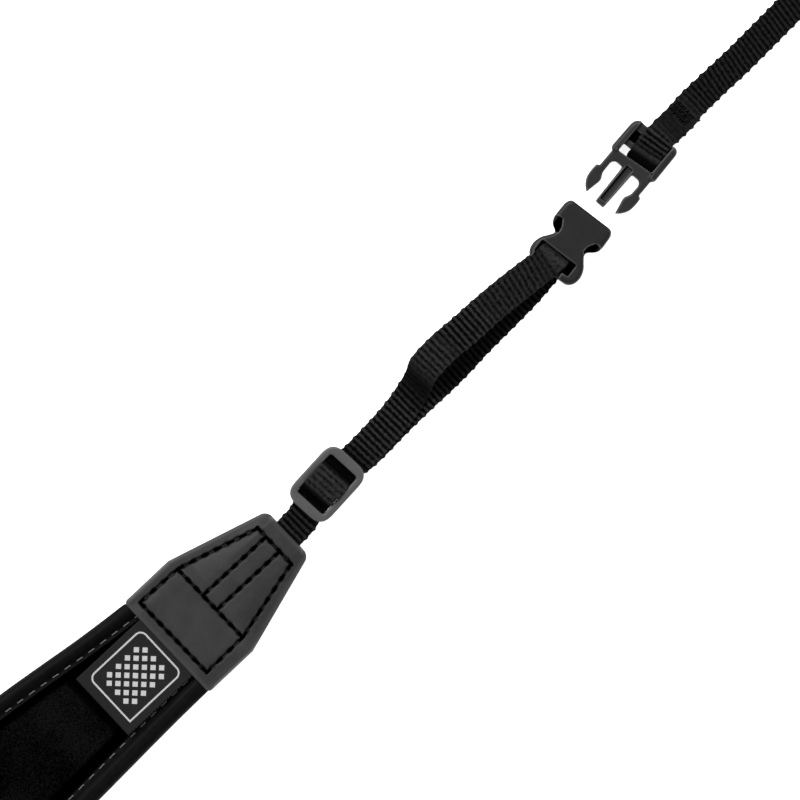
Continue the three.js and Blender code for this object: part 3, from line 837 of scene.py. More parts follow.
def build_label():
    """The label as a fine top face with its pattern raised, over a coarse under face."""
    x = np.arange(0, LABEL_LENGTH + LABEL_STEP / 2, LABEL_STEP)[:, None]
    y = np.arange(-LABEL_WIDTH / 2, LABEL_WIDTH / 2 + LABEL_STEP / 2, LABEL_STEP)[None, :]
    x, y = x + 0 * y, y + 0 * x
    base = panel_top(PAD_HALF_LENGTH + LABEL_AT[0] + x) + LABEL_FLOAT
    line = smoothstep(FRAME_LINE / 2 + 0.15 - label_frame(x, y), 0, 0.3)
    weave = np.sin(2 * math.pi * x / WEAVE_PITCH) * np.sin(2 * math.pi * y / WEAVE_PITCH)
    top = base + LABEL_THICKNESS - 0.12 + LINE_RELIEF * line + WEAVE_RELIEF * weave
    side_rim = 1 - smoothstep(LABEL_WIDTH / 2 - abs(y), 0, 0.4)
    top -= 0.2 * (1 - smoothstep(x, 0, 0.5)) + 0.12 * side_rim
    at_edge = smoothstep(-y, LABEL_WIDTH / 2 - 0.6, LABEL_WIDTH / 2)
    tooth = TOOTH * np.sin(2 * math.pi * x / SELVEDGE_PITCH) * at_edge
    upper = np.stack([x, y + np.sign(y) * tooth, top], -1)
    coarse = np.linspace(0, upper.shape[1] - 1, 12).astype(int)
    lower = upper[:, coarse].copy()
    lower[:, :, 2] = base[:, coarse]
    local = np.concatenate([lower, upper[:, ::-1]], 1)
    rings = to_row(1, placed(local, LABEL_AT)).reshape(local.shape)
    return band("woven_label", rings, {"cloth": local})


# %% Label material
def label_pattern_group():
    """Light yarn on the frame's line and in the lattice. Its edges run in the steps of a weave."""
    tree, given, out = tree_with("woven label pattern", "ShaderNodeTree", {
        "Line width": FRAME_LINE, "Corner radius": FRAME_RADIUS, "Lattice pitch": LATTICE_PITCH,
        "Yarn pitch": 0.56, "Step pitch": 0.55, "Step height": 0.06,
    }, {"Light yarn": "Float", "Height": "Float"})
    x, y, _ = parts_of(vector_in(tree, "cloth"))
    dx, dy = x - FRAME_CENTRE[0], y - FRAME_CENTRE[1]
    far_x, far_y = calc("ABSOLUTE", dx), calc("ABSOLUTE", dy)

    is_round = calc("MAXIMUM", calc("GREATER_THAN", dx, 0.0), calc("GREATER_THAN", dy, 0.0))
    radius = is_round * given["Corner radius"]
    qx, qy = far_x - FRAME_HALF[0] + radius, far_y - FRAME_HALF[1] + radius
    px, py = calc("MAXIMUM", qx, 0.0), calc("MAXIMUM", qy, 0.0)
    inside = calc("MINIMUM", calc("MAXIMUM", qx, qy), 0.0)
    distance = calc("ABSOLUTE", calc("SQRT", px * px + py * py) + inside - radius)
    steps = calc("SINE", (x + y) / given["Step pitch"] * FULL_TURN) * given["Step height"]
    light = calc("LESS_THAN", distance + steps, given["Line width"] * 0.5)

    half_pitch = given["Lattice pitch"] * 0.5
    for shift, half_x, half_y in LATTICE_FIELDS:
        u = calc("PINGPONG", dx + shift, half_pitch)
        v = calc("PINGPONG", dy + shift, half_pitch)
        rows = calc("LESS_THAN", u + v + steps, given["Lattice pitch"] * 0.3)
        field = calc("LESS_THAN", far_x, half_x) * calc("LESS_THAN", far_y, half_y)
        light = calc("MAXIMUM", light, rows * field)

    waves = [calc("SINE", part / given["Yarn pitch"] * FULL_TURN) for part in (x, y)]
    fill(out, {"Light yarn": light, "Height": waves[0] * waves[1] * 0.5 + 0.5})
    return tree


def label_material():
    material, tree, shader = start_material("woven label", 0.8, 0.15)
    pattern = group_in(tree, label_pattern_group())
    ground = grey_between(pattern["Height"], 14, 36, 0.1, 0.9)
    yarn = grey_between(pattern["Height"], 160, 200, 0.1, 0.9)
    fill(shader, {"Base Color": mixed(pattern["Light yarn"], ground, yarn),
                  "Normal": bump(pattern["Height"], 0.05)})
    return material


woven_label = finish_piece(build_label(), "label", "right_label", material=label_material())

# %% [markdown]
# ## The leatherette tabs
#
# Two layers of coated cloth are sewn around the end of the pad and the start of the webbing. The
# upper layer is stretched over both: it stands high over the pad, steps down at a cross seam and
# shows the webbing as a low ridge between two seams. Its edges are rolled. Each layer is a sheet
# whose height is a function of its place, with a groove pressed along every seam. The function
# also gives the seams their height, so the stitches lie in the grooves.

# %% Tab dimensions
TAB_LENGTH = 57.5
TAB_HALF_WIDTH = 21.35
TAB_STRAIGHT = 20.8
TAB_TIP_HALF_WIDTH = 10.5
TAB_CORNER = 2.4
TAB_NEAR_CORNER = 1.7
TAB_PITCH = 4.2
TAB_ROLL, UNDER_ROLL = 1.5, 0.5
TOP_GROOVE, UNDER_GROOVE = 0.52, 0.3
GROOVE_WIDTH, GROOVE_PULL = 0.56, 0.28
TAB_SEAMS = [
    [(4.4, -15.8), (4.15, 17.5), (21.5, 17.0), (51.2, 8.3), (51.1, -8.5), (21.6, -15.5),
     (4.4, -15.8)],
    [(21.6, -15.5), (21.5, 17.0)],
    [(21.9, 4.4), (50.9, 4.2)],
    [(21.9, -2.5), (50.9, -2.7)],
]
STEP_DOWN = (19.0, 27.0)                        # where it steps down from pad to webbing
RIDGE_HALF_WIDTHS = (14.2, 6.9)
UNDERSIDE = TAB_SKIN + CLEARANCE
TAB_STEPS = np.array([
    # x,   middle, sides: height of the upper layer's under face
    [0.0, 5.15, 4.45],
    [5.0, 5.15, 4.4],
    [19.0, 4.3, 4.25],
    [27.0, 3.25, UNDERSIDE],
    [57.5, 3.25, UNDERSIDE],
])


def tab_half_width(x):
    share = np.maximum(0, (x - TAB_STRAIGHT) / (TAB_LENGTH - TAB_STRAIGHT))
    taper = mix(TAB_HALF_WIDTH, TAB_TIP_HALF_WIDTH, share)
    into_corner = np.clip(x - (TAB_LENGTH - TAB_CORNER), 0, TAB_CORNER)
    near_corner = np.clip(TAB_NEAR_CORNER - x, 0, TAB_NEAR_CORNER)
    return (taper - TAB_CORNER + np.sqrt(TAB_CORNER**2 - into_corner**2)
            - TAB_NEAR_CORNER + np.sqrt(TAB_NEAR_CORNER**2 - near_corner**2))


def nearest_seam(x, y):
    """Distance from the nearest seam of the tab, and how far along that seam, in millimetres."""
    nearest, run = np.full(np.shape(x), 1e3), np.zeros(np.shape(x))
    for seam in TAB_SEAMS:
        for (ax, ay), (bx, by) in zip(seam, seam[1:]):
            length = math.hypot(bx - ax, by - ay)
            share = np.clip(((x - ax) * (bx - ax) + (y - ay) * (by - ay)) / length**2, 0, 1)
            away = np.hypot(x - ax - share * (bx - ax), y - ay - share * (by - ay))
            run = np.where(away < nearest, share * length, run)
            nearest = np.minimum(nearest, away)
    return nearest, run


def eased(x, column):
    """A column of the table of steps at x, eased between its rows."""
    result = np.full(np.shape(x), TAB_STEPS[0, column])
    for (x0, *before), (x1, *after) in zip(TAB_STEPS, TAB_STEPS[1:]):
        rise = after[column - 1] - before[column - 1]
        result = result + rise * smoothstep(x, x0, x1)
    return result


def upper_underside(x, y):
    """The under face of the upper layer: flat over the pad, then a ridge over the webbing."""
    middle, sides = eased(x, 1), eased(x, 2)
    taper = smoothstep(x, *STEP_DOWN)
    ridge = mix(*RIDGE_HALF_WIDTHS, taper)
    foot = mix(19.0, tab_half_width(x) - 1.5, taper)
    away = np.clip((np.abs(y) - ridge) / np.maximum(foot - ridge, 0.5), 0, 1)
    return mix(middle, sides, mix(away, away * away * (3 - 2 * away), 0.5))


def edge_distance(x, y):
    side = (tab_half_width(x) - np.abs(y)) * 0.97
    return np.minimum(np.minimum(side, x), TAB_LENGTH - x)


def seam_groove(x, y):
    """1 in the middle of a seam's groove. It is widest where a stitch pulls it."""
    away, run = nearest_seam(x, y)
    pull = (0.5 + 0.5 * np.cos(2 * math.pi * (run / TAB_PITCH - 0.5))) ** 2
    return np.exp(-(away / (GROOVE_WIDTH + GROOVE_PULL * pull)) ** 2)


def upper_top(x, y):
    under = upper_underside(x, y)
    groove = TOP_GROOVE * seam_groove(x, y)
    swell = 0.05 * smoothstep(nearest_seam(x, y)[0], 0.5, 3.0)
    low = mix(UNDERSIDE + 0.1, under - 0.2, smoothstep(x, 4.5, 0.5))
    full = under + TAB_SKIN - 0.1 + swell - groove
    return mix(low, full, rolled(edge_distance(x, y), TAB_ROLL))


def lower_under(x, y):
    groove = UNDER_GROOVE * seam_groove(x, y)
    return mix(0.45, groove, rolled(edge_distance(x, y), UNDER_ROLL))


# %% Tab meshes
FINE_EDGE = [0.0, 0.07, 0.2, 0.4, 0.7, 1.05]
TAB_EDGE_MARGIN = 1.3
TAB_GRIDS = {"upper": (122, 0.32), "lower": (88, 0.44)}


def tab_grid(columns, step):
    """Places of a tab in its own frame: rows this far apart, and this many columns across it."""
    x = np.array(FINE_EDGE + list(np.arange(1.4, TAB_LENGTH - 3.2, step)))
    tip = TAB_LENGTH - np.array([3.1, 2.8, 2.5, 2.2, 1.9, 1.6, 1.3] + FINE_EDGE[::-1])
    tip[-1] = TAB_LENGTH - 0.01
    x = np.concatenate([x, tip])
    half = tab_half_width(x)[:, None]
    left = -half + np.array(FINE_EDGE)[None, :]
    middle = np.linspace(-1, 1, columns)[None, :] * (half - TAB_EDGE_MARGIN)
    y = np.concatenate([left, middle, -left[:, ::-1]], 1)
    return x[:, None] + 0 * y, y


def build_tab(name, side, layer):
    """One layer of a tab: a fine face outside, with the grooves, and a coarse one inside."""
    upper = layer == "upper"
    x, y = tab_grid(*TAB_GRIDS[layer])
    fine = np.stack([x, y, (upper_top if upper else lower_under)(x, y)], -1)
    coarse = np.linspace(0, y.shape[1] - 1, 18).astype(int)
    plain = fine[:, coarse].copy()
    px, py = x[:, coarse], y[:, coarse]
    if upper:
        flat = upper_underside(px, py)
        rim = fine[:, coarse, 2] - 0.4
        plain[:, :, 2] = np.where(edge_distance(px, py) < 0.3, np.minimum(flat, rim), flat)
    else:
        plain[:, :, 2] = TAB_SKIN - 0.35 * (1 - smoothstep(edge_distance(px, py), 0, 0.6))
    local = np.concatenate([plain, fine[:, ::-1]], 1)
    rings = to_row(side, placed(local, TAB_AT)).reshape(local.shape)
    tx, ty = local[:, :, 0], local[:, :, 1]
    # Painted shade in the grooves of the seams, on the outer face only.
    deep = smoothstep(seam_groove(tx, ty), 0.08, 0.5)
    deep[:, :coarse.size] = 0
    to_edge = edge_distance(tx, ty)
    # A painted highlight along the rolled rim, brightest near its edge.
    rubbed = smoothstep(to_edge, 2.6, 0.6) * (0.55 + 0.45 * smoothstep(to_edge, 1.0, 0.4))
    return band(name, rings, {"cloth": local, "deep": deep, "rubbed": rubbed})


def sew_tab(name, side):
    """The stitches on both faces of a tab, one row for each straight stretch of a seam."""
    rows = {"top": [], "under": []}
    faces = {"top": (upper_top, 0.05), "under": (lower_under, 0.16)}
    for seam in TAB_SEAMS:
        for (ax, ay), (bx, by) in zip(seam, seam[1:]):
            share = np.linspace(0.03, 0.97, max(3, round(math.hypot(bx - ax, by - ay))))
            x, y = mix(ax, bx, share), mix(ay, by, share)
            for face, (height, lift) in faces.items():
                line = np.stack([x, y, height(x, y) + lift], 1)
                rows[face].append(to_row(side, placed(line, TAB_AT)))
    sizes = {"Pitch": TAB_PITCH * MM, "Stitch length": 2.7 * MM, "Unevenness": 0.03, "Seed": 5,
             "Material": BLACK_THREAD}
    return [grown(seam_piece(f"{name}_tab_stitches_{face}", rows[face]), STITCHES,
                  {**sizes, "Thread": strand * MM, "Lift": lift * MM})
            for face, strand, lift in (("top", 1.1, 0.16), ("under", 0.8, -0.1))]


tab_area = 2 * TAB_HALF_WIDTH * TAB_STRAIGHT
tab_area += (TAB_HALF_WIDTH + TAB_TIP_HALF_WIDTH) * (TAB_LENGTH - TAB_STRAIGHT)
for name, side in SIDES.items():
    stitches = sew_tab(name, side)
    for layer, rests_on in (("upper", [pad_cover]), ("lower", [])):
        tab = build_tab(f"{name}_tab_{layer}_skin", side, layer)
        finish_piece(tab, "leatherette", f"{name}_tab_{layer}", material=LEATHERETTE)
    for row in stitches:
        finish_piece(row, "leatherette")

# %% [markdown]
# ## The webbing
#
# The webbing is one flat band that leaves the tab, goes through the slider, arches up in a bow,
# turns round the bar of the buckle and comes back underneath. Its route is a list of stops: the
# place of the middle of the band, and which way its width points. A smooth curve through them is
# cut into steps of a third of a millimetre, and the section is swept along it. Then a geometry
# tree presses the cross ribs into both faces and the small yarn loops into both edges, and
# stores how high on a rib each point lies, for the material to use.


# %% Webbing routes
def turnback(centre, radius, turn, side, sense, drift=0.0, **rest):
    """Stops of a half turn round a bar. It bulges outwards for side 1, to the pad for -1. The
    band drifts sideways by `drift` from its first stop to its last."""
    angles = np.radians([-90, -65, -40, -13, 13, 40, 65, 90])
    if sense == "down":
        angles = angles[::-1]
    x, y, z = centre
    lean = math.radians(turn)
    stops = []
    for count, angle in enumerate(angles):
        reach = side * radius * math.cos(angle)
        aside = drift * (count / (len(angles) - 1) - 0.5)
        stops.append((x + reach * math.cos(lean), y + reach * math.sin(lean) + aside,
                      z + radius * math.sin(angle), turn, rest))
    return stops


# Stops are x, y, z and the turn of the band's width in degrees. What follows says where the band
# is pulled wider, where its ribs are stretched flat, and how much painted shade darkens it: in the
# fittings, in folds, on slopes that face away from the lamp and under the bow. Some widened
# stretches fill gaps in a fitting where only shade would show, and are painted nearly black.
# A band that lies on the table has its middle at LOW, and one that lies on another at HIGH.
LOW, HIGH = 0.65, 2.25
# In the slider the band is painted a little darker, and beside it, on its steep sides, nearly
# black. UNDER paints the bow's shadow on the run beneath it, over the lamp's real shadow. The last
# set paints shade on the slope from the bow down to the socket, whose ribs stand lower.
IN_SLIDER = dict(width=12.4, ribs=0.5, deep=0.12)
SIDE_OF_SLIDER = dict(width=12.3, ribs=0.2, deep=0.85)
UNDER = dict(deep=0.55)
LOW_RIBS_PAINTED_SHADE = dict(ribs=0.65, deep=0.36)
WEBBING_ROUTE = [
    (23.5, -1.1, 2.26, -2), (40, -1.7, 2.26, -1), (52, -2.25, 2.26, 0),
    (58, -2.25, 2.1, -1, dict(deep=0.35)), (63.5, -1.95, 1.5, 1, dict(deep=0.4)),
    (67.4, -0.7, 1.5, 2, dict(width=12.2, deep=0.6)),
    (70.4, 0.08, 2.6, 3, SIDE_OF_SLIDER), (72.4, 0.15, 4.7, 3, SIDE_OF_SLIDER),
    (74.2, 0.25, 6.1, 3, IN_SLIDER), (75.8, 0.32, 6.65, 3, IN_SLIDER),
    (78.4, 0.42, 6.68, 3, IN_SLIDER), (81, 0.55, 6.0, 3, IN_SLIDER),
    (82.6, 0.62, 4.6, 3, SIDE_OF_SLIDER), (84.2, 0.7, 3.0, 3, SIDE_OF_SLIDER),
    (85.8, 0.6, 2.35, 3, dict(width=12.5, deep=0.9)),
    (88.2, -0.1, 2.26, 2, dict(deep=0.6)), (91.5, -0.5, HIGH, 2, dict(deep=0.5)),
    (95, -0.5, HIGH, 2, dict(deep=0.15)), (100, -0.4, HIGH, 1), (108, -0.05, HIGH, 1),
    (114, 0.6, HIGH, 0, dict(deep=0.08)), (119.5, 1.65, 2.3, -1, dict(deep=0.5)),
    (122.6, 2.4, 3.0, -2, dict(ribs=0.5, deep=0.7)),
    (125.4, 3.4, 5.2, 0, dict(ribs=0.3, deep=0.78)),
    (128, 4.6, 7.6, 3, dict(ribs=0.3, deep=0.5)), (130.6, 5.1, 9.2, 2, dict(ribs=0.7, deep=0.15)),
    (134, 5.3, 10.1, 0, dict(ribs=0.65)), (138, 5.3, 10.3, 0, dict(ribs=0.7)),
    (141, 5.2, 10.3, -1, dict(ribs=0.5, deep=0.42)), (144, 4.9, 10.1, -2, dict(deep=0.15)),
    (150, 4.4, 9.5, -3), (155, 4.15, 8.9, -4, dict(ribs=0.9)), (160, 3.8, 8.3, -6, LOW_RIBS_PAINTED_SHADE),
    (165, 3.35, 7.6, -8, LOW_RIBS_PAINTED_SHADE),
    (170, 2.85, 6.9, -12, LOW_RIBS_PAINTED_SHADE), (178, 1.85, 5.7, -15, LOW_RIBS_PAINTED_SHADE),
    (183, 1.15, 5.05, -14, dict(ribs=0.55, deep=0.42, width=11.3)),
    (185.8, 0.85, 4.95, -9, dict(ribs=0.45, deep=0.4, width=11.3)),
    *turnback((187.6, 0.45, 2.8), 2.2, 7, 1, "down", drift=-0.6, ribs=0.15, width=11.3),
    (186, 0.05, LOW, 7, UNDER), (183.5, -0.3, LOW, 4, UNDER), (179, -0.75, LOW, 2, UNDER),
    (172, -1.2, LOW, 0, UNDER), (156, -1.3, LOW, -3, UNDER), (148, -1.35, LOW, -4, UNDER),
    (140, -1.7, LOW, -4, UNDER), (131, -1.65, LOW, -3, UNDER), (122, -1.3, LOW, 0),
    (110, -1.1, LOW, 0), (98, -1.25, LOW, 1), (92, -1.0, LOW, 2),
    (87, 0.1, LOW, 3, dict(width=11.9)), (84.5, 0.55, LOW, 3, dict(width=12.6, deep=1.0)),
    (81.0, 0.5, 0.9, 3, dict(width=12.4, deep=1.0)),
    *turnback((76.85, 0.35, 3.3), 1.72, 2.6, -1, "up", width=12.1, deep=1.0, ribs=0.2),
    (78.4, 0.4, 4.98, 3, SIDE_OF_SLIDER), (79.6, 0.45, 4.6, 3, SIDE_OF_SLIDER),
    (80.8, 0.5, 3.7, 3, SIDE_OF_SLIDER), (81.6, 0.5, 3.05, 3, SIDE_OF_SLIDER),
]
# FLARED widens the band in the plug's frame and paints it nearly black, to fill the frame's slot
# where only shade would show. SMOOTH and LONE paint shade on the camera's webbing.
FLARED = dict(width=13.9, deep=0.95, ribs=0.1)
SMOOTH = dict(ribs=0.25, deep=0.6)
LONE = dict(ribs=0.8, deep=0.5)
CAMERA_ROUTE = [
    (257, 3.45, LOW, 2), (250, 3.4, LOW, 3), (245, 3.6, LOW, 4),
    (242.6, 3.9, LOW, 4, dict(width=10.4, deep=0.9)),
    (241.4, 4.3, LOW, 5, dict(width=11.6, deep=0.9)), (240.3, 4.67, LOW, 5, FLARED),
    (238, 4.47, LOW, 5, FLARED), (235.9, 4.28, LOW, 5, FLARED),
    (235.1, 2.85, LOW, 8, dict(width=10.9, deep=0.95)),
    *turnback((233.95, 2.75, 2.65), 2.0, 10.5, -1, "up", deep=0.9, ribs=0.15, width=10.6),
    (235.6, 2.75, 4.62, 10, dict(width=10.8, ribs=0.15, deep=0.35)),
    (237.0, 3.0, 4.3, 10, dict(width=10.8, ribs=0.7, deep=0.5)),
    (238.2, 3.2, 4.2, 10, dict(width=10.8, deep=0.4)), (239.8, 3.35, 4.4, 10, dict(width=10.8)),
    (242.4, 3.6, 4.5, 8, dict(deep=0.1)), (244.6, 3.75, 3.8, 3, dict(ribs=0.5, deep=0.35)),
    (247.4, 3.8, 2.7, 0, SMOOTH),
    (250.5, 3.7, HIGH, -2, SMOOTH), (256, 3.9, HIGH, 0, dict(ribs=0.3, deep=0.48)),
    (259.4, 4.05, 1.65, 0, dict(ribs=0.6, deep=0.48)), (263, 4.0, 0.8, -2, LONE),
    (268, 3.85, LOW, -9, LONE), (272, 3.75, LOW, -12, LONE), (280, 3.45, LOW, -10, LONE),
    (290, 3.4, LOW, -8, LONE), (305, 3.45, LOW, -8, LONE), (330, 3.3, LOW, -4, LONE),
]
WEBBING_THICKNESS = 1.3
WEBBING_STEP = 0.33
WEBBING_COLUMNS = 15
RIB_PITCH = 2.0


def smooth_route(stops, width, step):
    """Centripetal curve through the stops, as rows of x, y, z, turn, width, ribs and painted
    shade.
    """
    plain = dict(width=width, ribs=1.0, deep=0.0)
    stops = np.array([(*stop[:4], *{**plain, **(stop[4] if len(stop) > 4 else {})}.values())
                      for stop in stops], float)
    first, last = 2 * stops[0] - stops[1], 2 * stops[-1] - stops[-2]
    control = np.vstack([first, stops, last])
    gaps = np.linalg.norm(np.diff(control[:, :3], axis=0), axis=1) ** 0.5
    knots = np.concatenate([[0], np.cumsum(np.maximum(gaps, 1e-6))])
    pieces = []
    for i in range(1, len(control) - 2):
        t = np.linspace(knots[i], knots[i + 1], 24, endpoint=i == len(control) - 3)[:, None]
        k = knots[i - 1:i + 3]
        p = control[i - 1:i + 3]
        a = [((k[j + 1] - t) * p[j] + (t - k[j]) * p[j + 1]) / (k[j + 1] - k[j]) for j in range(3)]
        b = [((k[j + 2] - t) * a[j] + (t - k[j]) * a[j + 1]) / (k[j + 2] - k[j]) for j in range(2)]
        pieces.append(((k[2] - t) * b[0] + (t - k[1]) * b[1]) / (k[2] - k[1]))
    dense = np.vstack(pieces)
    steps = np.linalg.norm(np.diff(dense[:, :3], axis=0), axis=1)
    length = np.concatenate([[0], np.cumsum(steps)])
    at = np.linspace(0, length[-1], round(length[-1] / step) + 1)
    return at, np.stack([np.interp(at, length, dense[:, i]) for i in range(7)], 1)


# %% Webbing mesh
def band_section(width, thickness, columns):
    """Half the section of a band with round edges: distances across, and heights below it."""
    radius = thickness / 2
    angles = np.radians([78, 56, 34, 14])
    edge = width / 2 - radius + radius * np.sin(angles)
    drop = -radius * np.cos(angles)
    inner = np.linspace(-1, 1, columns) * (width / 2 - radius)
    across = np.concatenate([-edge, inner, edge[::-1]])
    height = np.concatenate([drop, np.full(columns, -radius), drop[::-1]])
    return across, height


def build_webbing(name, side, stops, width):
    """A band swept along its route, and the length of that route."""
    at, route = smooth_route(stops, width, WEBBING_STEP)
    place, turn, widths = route[:, :3], np.radians(route[:, 3]), route[:, 4] / width
    along = np.gradient(place, axis=0)
    along /= np.linalg.norm(along, axis=1)[:, None]
    sideways = np.stack([-np.sin(turn), np.cos(turn), 0 * turn], 1)
    up = np.cross(along, sideways)
    up /= np.linalg.norm(up, axis=1)[:, None]
    across, drop = band_section(width, WEBBING_THICKNESS, WEBBING_COLUMNS)
    across = np.concatenate([across, across[::-1]])
    height = np.concatenate([drop, -drop[::-1]])
    rings = (place[:, None] + sideways[:, None] * (widths[:, None] * across)[:, :, None]
             + up[:, None] * height[None, :, None])
    cloth = np.stack(np.broadcast_arrays(at[:, None], across[None, :], 0 * height[None, :]), -1)
    ribs, deep = (np.clip(route[:, i:i + 1], 0, 1) + 0 * across[None, :] for i in (5, 6))
    piece = band(name, to_row(side, rings).reshape(rings.shape),
                 {"cloth": cloth, "ribs": ribs, "deep": deep})
    return piece, at[-1]


# %% Rib tree
def rib_tree():
    """Ribs across a band, pressed into both faces, and yarn loops that stand out at its edges."""
    tree, given, out = tree_with("webbing ribs", "GeometryNodeTree", {
        "Band": "Geometry", "Rib pitch": RIB_PITCH, "Rib depth": 0.42 * MM, "Half width": 5.25,
        "Edge loop": 0.3 * MM, "Loop reach": 1.0, "Unevenness": 0.5, "Seed": 1.0,
        "Material": "Material",
    }, {"Webbing": "Geometry"})
    cloth, relief = (node(tree, "GeometryNodeInputNamedAttribute", {"Name": name},
                          data_type=kind).outputs[0]
                     for name, kind in (("cloth", "FLOAT_VECTOR"), ("ribs", "FLOAT")))
    along, across, _ = parts_of(cloth)
    relief = Term(relief)
    drift = Term(node(tree, "ShaderNodeTexNoise", {
        "Vector": cloth, "W": given["Seed"], "Scale": 0.16, "Detail": 2.0,
    }, noise_dimensions="4D").outputs[0])
    ribs = (along + (drift - 0.5) * given["Unevenness"]) / given["Rib pitch"]
    crest = calc("POWER", wave(ribs, "COSINE"), 0.75)
    pair = wave(ribs * 0.5, "COSINE")

    reach = calc("ABSOLUTE", across) / given["Half width"]
    selvedge, rim = eased_between(reach, 0.82, 0.97), eased_between(reach, 0.93, 1.0)
    valley = (1.0 - crest) * (selvedge * -0.45 + 1.0) * relief
    loop = pair * rim * given["Edge loop"]
    loop = loop * calc("MULTIPLY", relief, given["Loop reach"], clamp=True)
    offset = node(tree, "ShaderNodeVectorMath", {
        0: node(tree, "GeometryNodeInputNormal").outputs[0],
        "Scale": loop - valley * given["Rib depth"],
    }, operation="SCALE").outputs[0]
    webbing = node(tree, "GeometryNodeStoreNamedAttribute", {
        "Geometry": given["Band"], "Name": "crest", "Value": 1.0 - valley,
    }, data_type="FLOAT").outputs[0]
    webbing = node(tree, "GeometryNodeSetPosition", {
        "Geometry": webbing, "Offset": offset,
    }).outputs[0]
    fill(out, {"Webbing": finished(tree, webbing, given["Material"])})
    return tree


RIBS = rib_tree()
BANDS = [
    # node, route, width, rib pitch, edge loop, loop reach, seed
    ("webbing", WEBBING_ROUTE, 11.5, RIB_PITCH, 0.3, 1.0, 1.0),
    ("camera_webbing", CAMERA_ROUTE, 10.5, 1.8, 0.42, 2.6, 4.0),
]
for name, side in SIDES.items():
    for node_name, stops, width, pitch, loop, reach, seed in BANDS:
        webbing, length = build_webbing(f"{name}_{node_name}_ribbed", side, stops, width)
        grown(webbing, RIBS, {"Half width": width / 2, "Rib pitch": pitch, "Seed": seed,
                              "Edge loop": loop * MM, "Loop reach": reach,
                              "Material": WEBBING_CLOTH})
        finish_piece(webbing, "webbing", f"{name}_{node_name}")
        print(f"  length {length:.0f} mm")


# %% Bar tack
BAR_TACK_AT = (254.4, 4.3, -1.0)
BAR_TACK_ROWS = (-1.1, 1.1)
BAR_TACK_HALF_WIDTH = 3.6
BAR_TACK_HEIGHT = 2.93


def sew_bar_tack(name, side):
    """A short seam across the webbing, whose stitches stand along the strap."""
    rows = []
    for x in BAR_TACK_ROWS:
        y = np.linspace(-BAR_TACK_HALF_WIDTH, BAR_TACK_HALF_WIDTH, 24)
        row = np.stack([x + 0 * y, y, BAR_TACK_HEIGHT + 0 * y], 1)
        rows.append(to_row(side, placed(row, BAR_TACK_AT)))
    piece = seam_piece(f"{name}_bar_tack", rows)
    return grown(piece, STITCHES, {
        "Pitch": 0.8 * MM, "Stitch length": 2.3 * MM, "Thread": 0.34 * MM, "Lift": 0.08 * MM,
        "Turn": math.radians(80), "Unevenness": 0.3, "Seed": 9, "Material": BLACK_THREAD,
    })


for name, side in SIDES.items():
    finish_piece(sew_bar_tack(name, side), "webbing")

# %% [markdown]
# ## Moulded plastic
#
# The slider and both halves of the buckle are moulded: flat plates with outlines, openings cut
# through them, and a small soft radius on every edge, inside and out. Bevel modifiers struggle
# where many cuts meet, so each part is built the way a mould maker would rough it out. Plates
# with round rims come from flat curves, Boolean modifiers join and cut them, a fine voxel
# remesh makes one even skin of the result, and a light smoothing rounds every edge alike.


# %% Plastic helpers
SMOOTHING_ROUNDS = 5
CORNER_STEPS = 6


def rounded(points, radius):
    """A closed outline with its corners rounded. A point may give a radius of its own."""
    result = []
    count = len(points)
    for i, (x, y, *own) in enumerate(points):
        here = Vector((x, y))
        before = Vector(points[i - 1][:2]) - here
        after = Vector(points[(i + 1) % count][:2]) - here
        reach = min(own[0] if own else radius, before.length * 0.49, after.length * 0.49)
        if reach < 0.05:
            result.append((x, y))
            continue
        a, b = here + before.normalized() * reach, here + after.normalized() * reach
        for k in range(CORNER_STEPS + 1):
            t = k / CORNER_STEPS
            result.append(tuple((1 - t) ** 2 * a + 2 * t * (1 - t) * here + t * t * b))
    return result


def rectangle(x0, x1, half):
    return [(x0, -half), (x1, -half), (x1, half), (x0, half)]


def plate(outlines, bottom, top, rim=0.0):
    """A plate between two heights. Outlines after the first are holes. Its rims are rounded."""
    curve = bpy.data.curves.new("plate", "CURVE")
    curve.dimensions = "2D"
    curve.fill_mode = "BOTH"
    curve.extrude = (top - bottom) / 2 - rim
    curve.bevel_depth = rim
    curve.offset = -rim
    curve.bevel_resolution = 3
    for points in outlines:
        spline = curve.splines.new("POLY")
        spline.points.add(len(points) - 1)
        spline.use_cyclic_u = True
        for point, (x, y) in zip(spline.points, points):
            point.co = (x, y, 0, 1)
    flat = add_object("plate", curve)
    mesh = evaluated_mesh(flat)
    bpy.data.objects.remove(flat)
    shape = bmesh.new()
    shape.from_mesh(mesh)
    bmesh.ops.remove_doubles(shape, verts=shape.verts, dist=1e-4)
    bmesh.ops.recalc_face_normals(shape, faces=shape.faces)
    shape.to_mesh(mesh)
    shape.free()
    mesh.transform(Matrix.Translation((0, 0, (bottom + top) / 2)))
    return add_object("plate", mesh)


def cut(body, *tools):
    """The body less its tools, as a plain mesh."""
    for tool in tools:
        modifier = body.modifiers.new("cut", "BOOLEAN")
        modifier.operation = "DIFFERENCE"
        modifier.object = tool
        modifier.solver = "EXACT"
    mesh = evaluated_mesh(body)
    for solid in (body, *tools):
        bpy.data.objects.remove(solid)
    return add_object("cut", mesh)


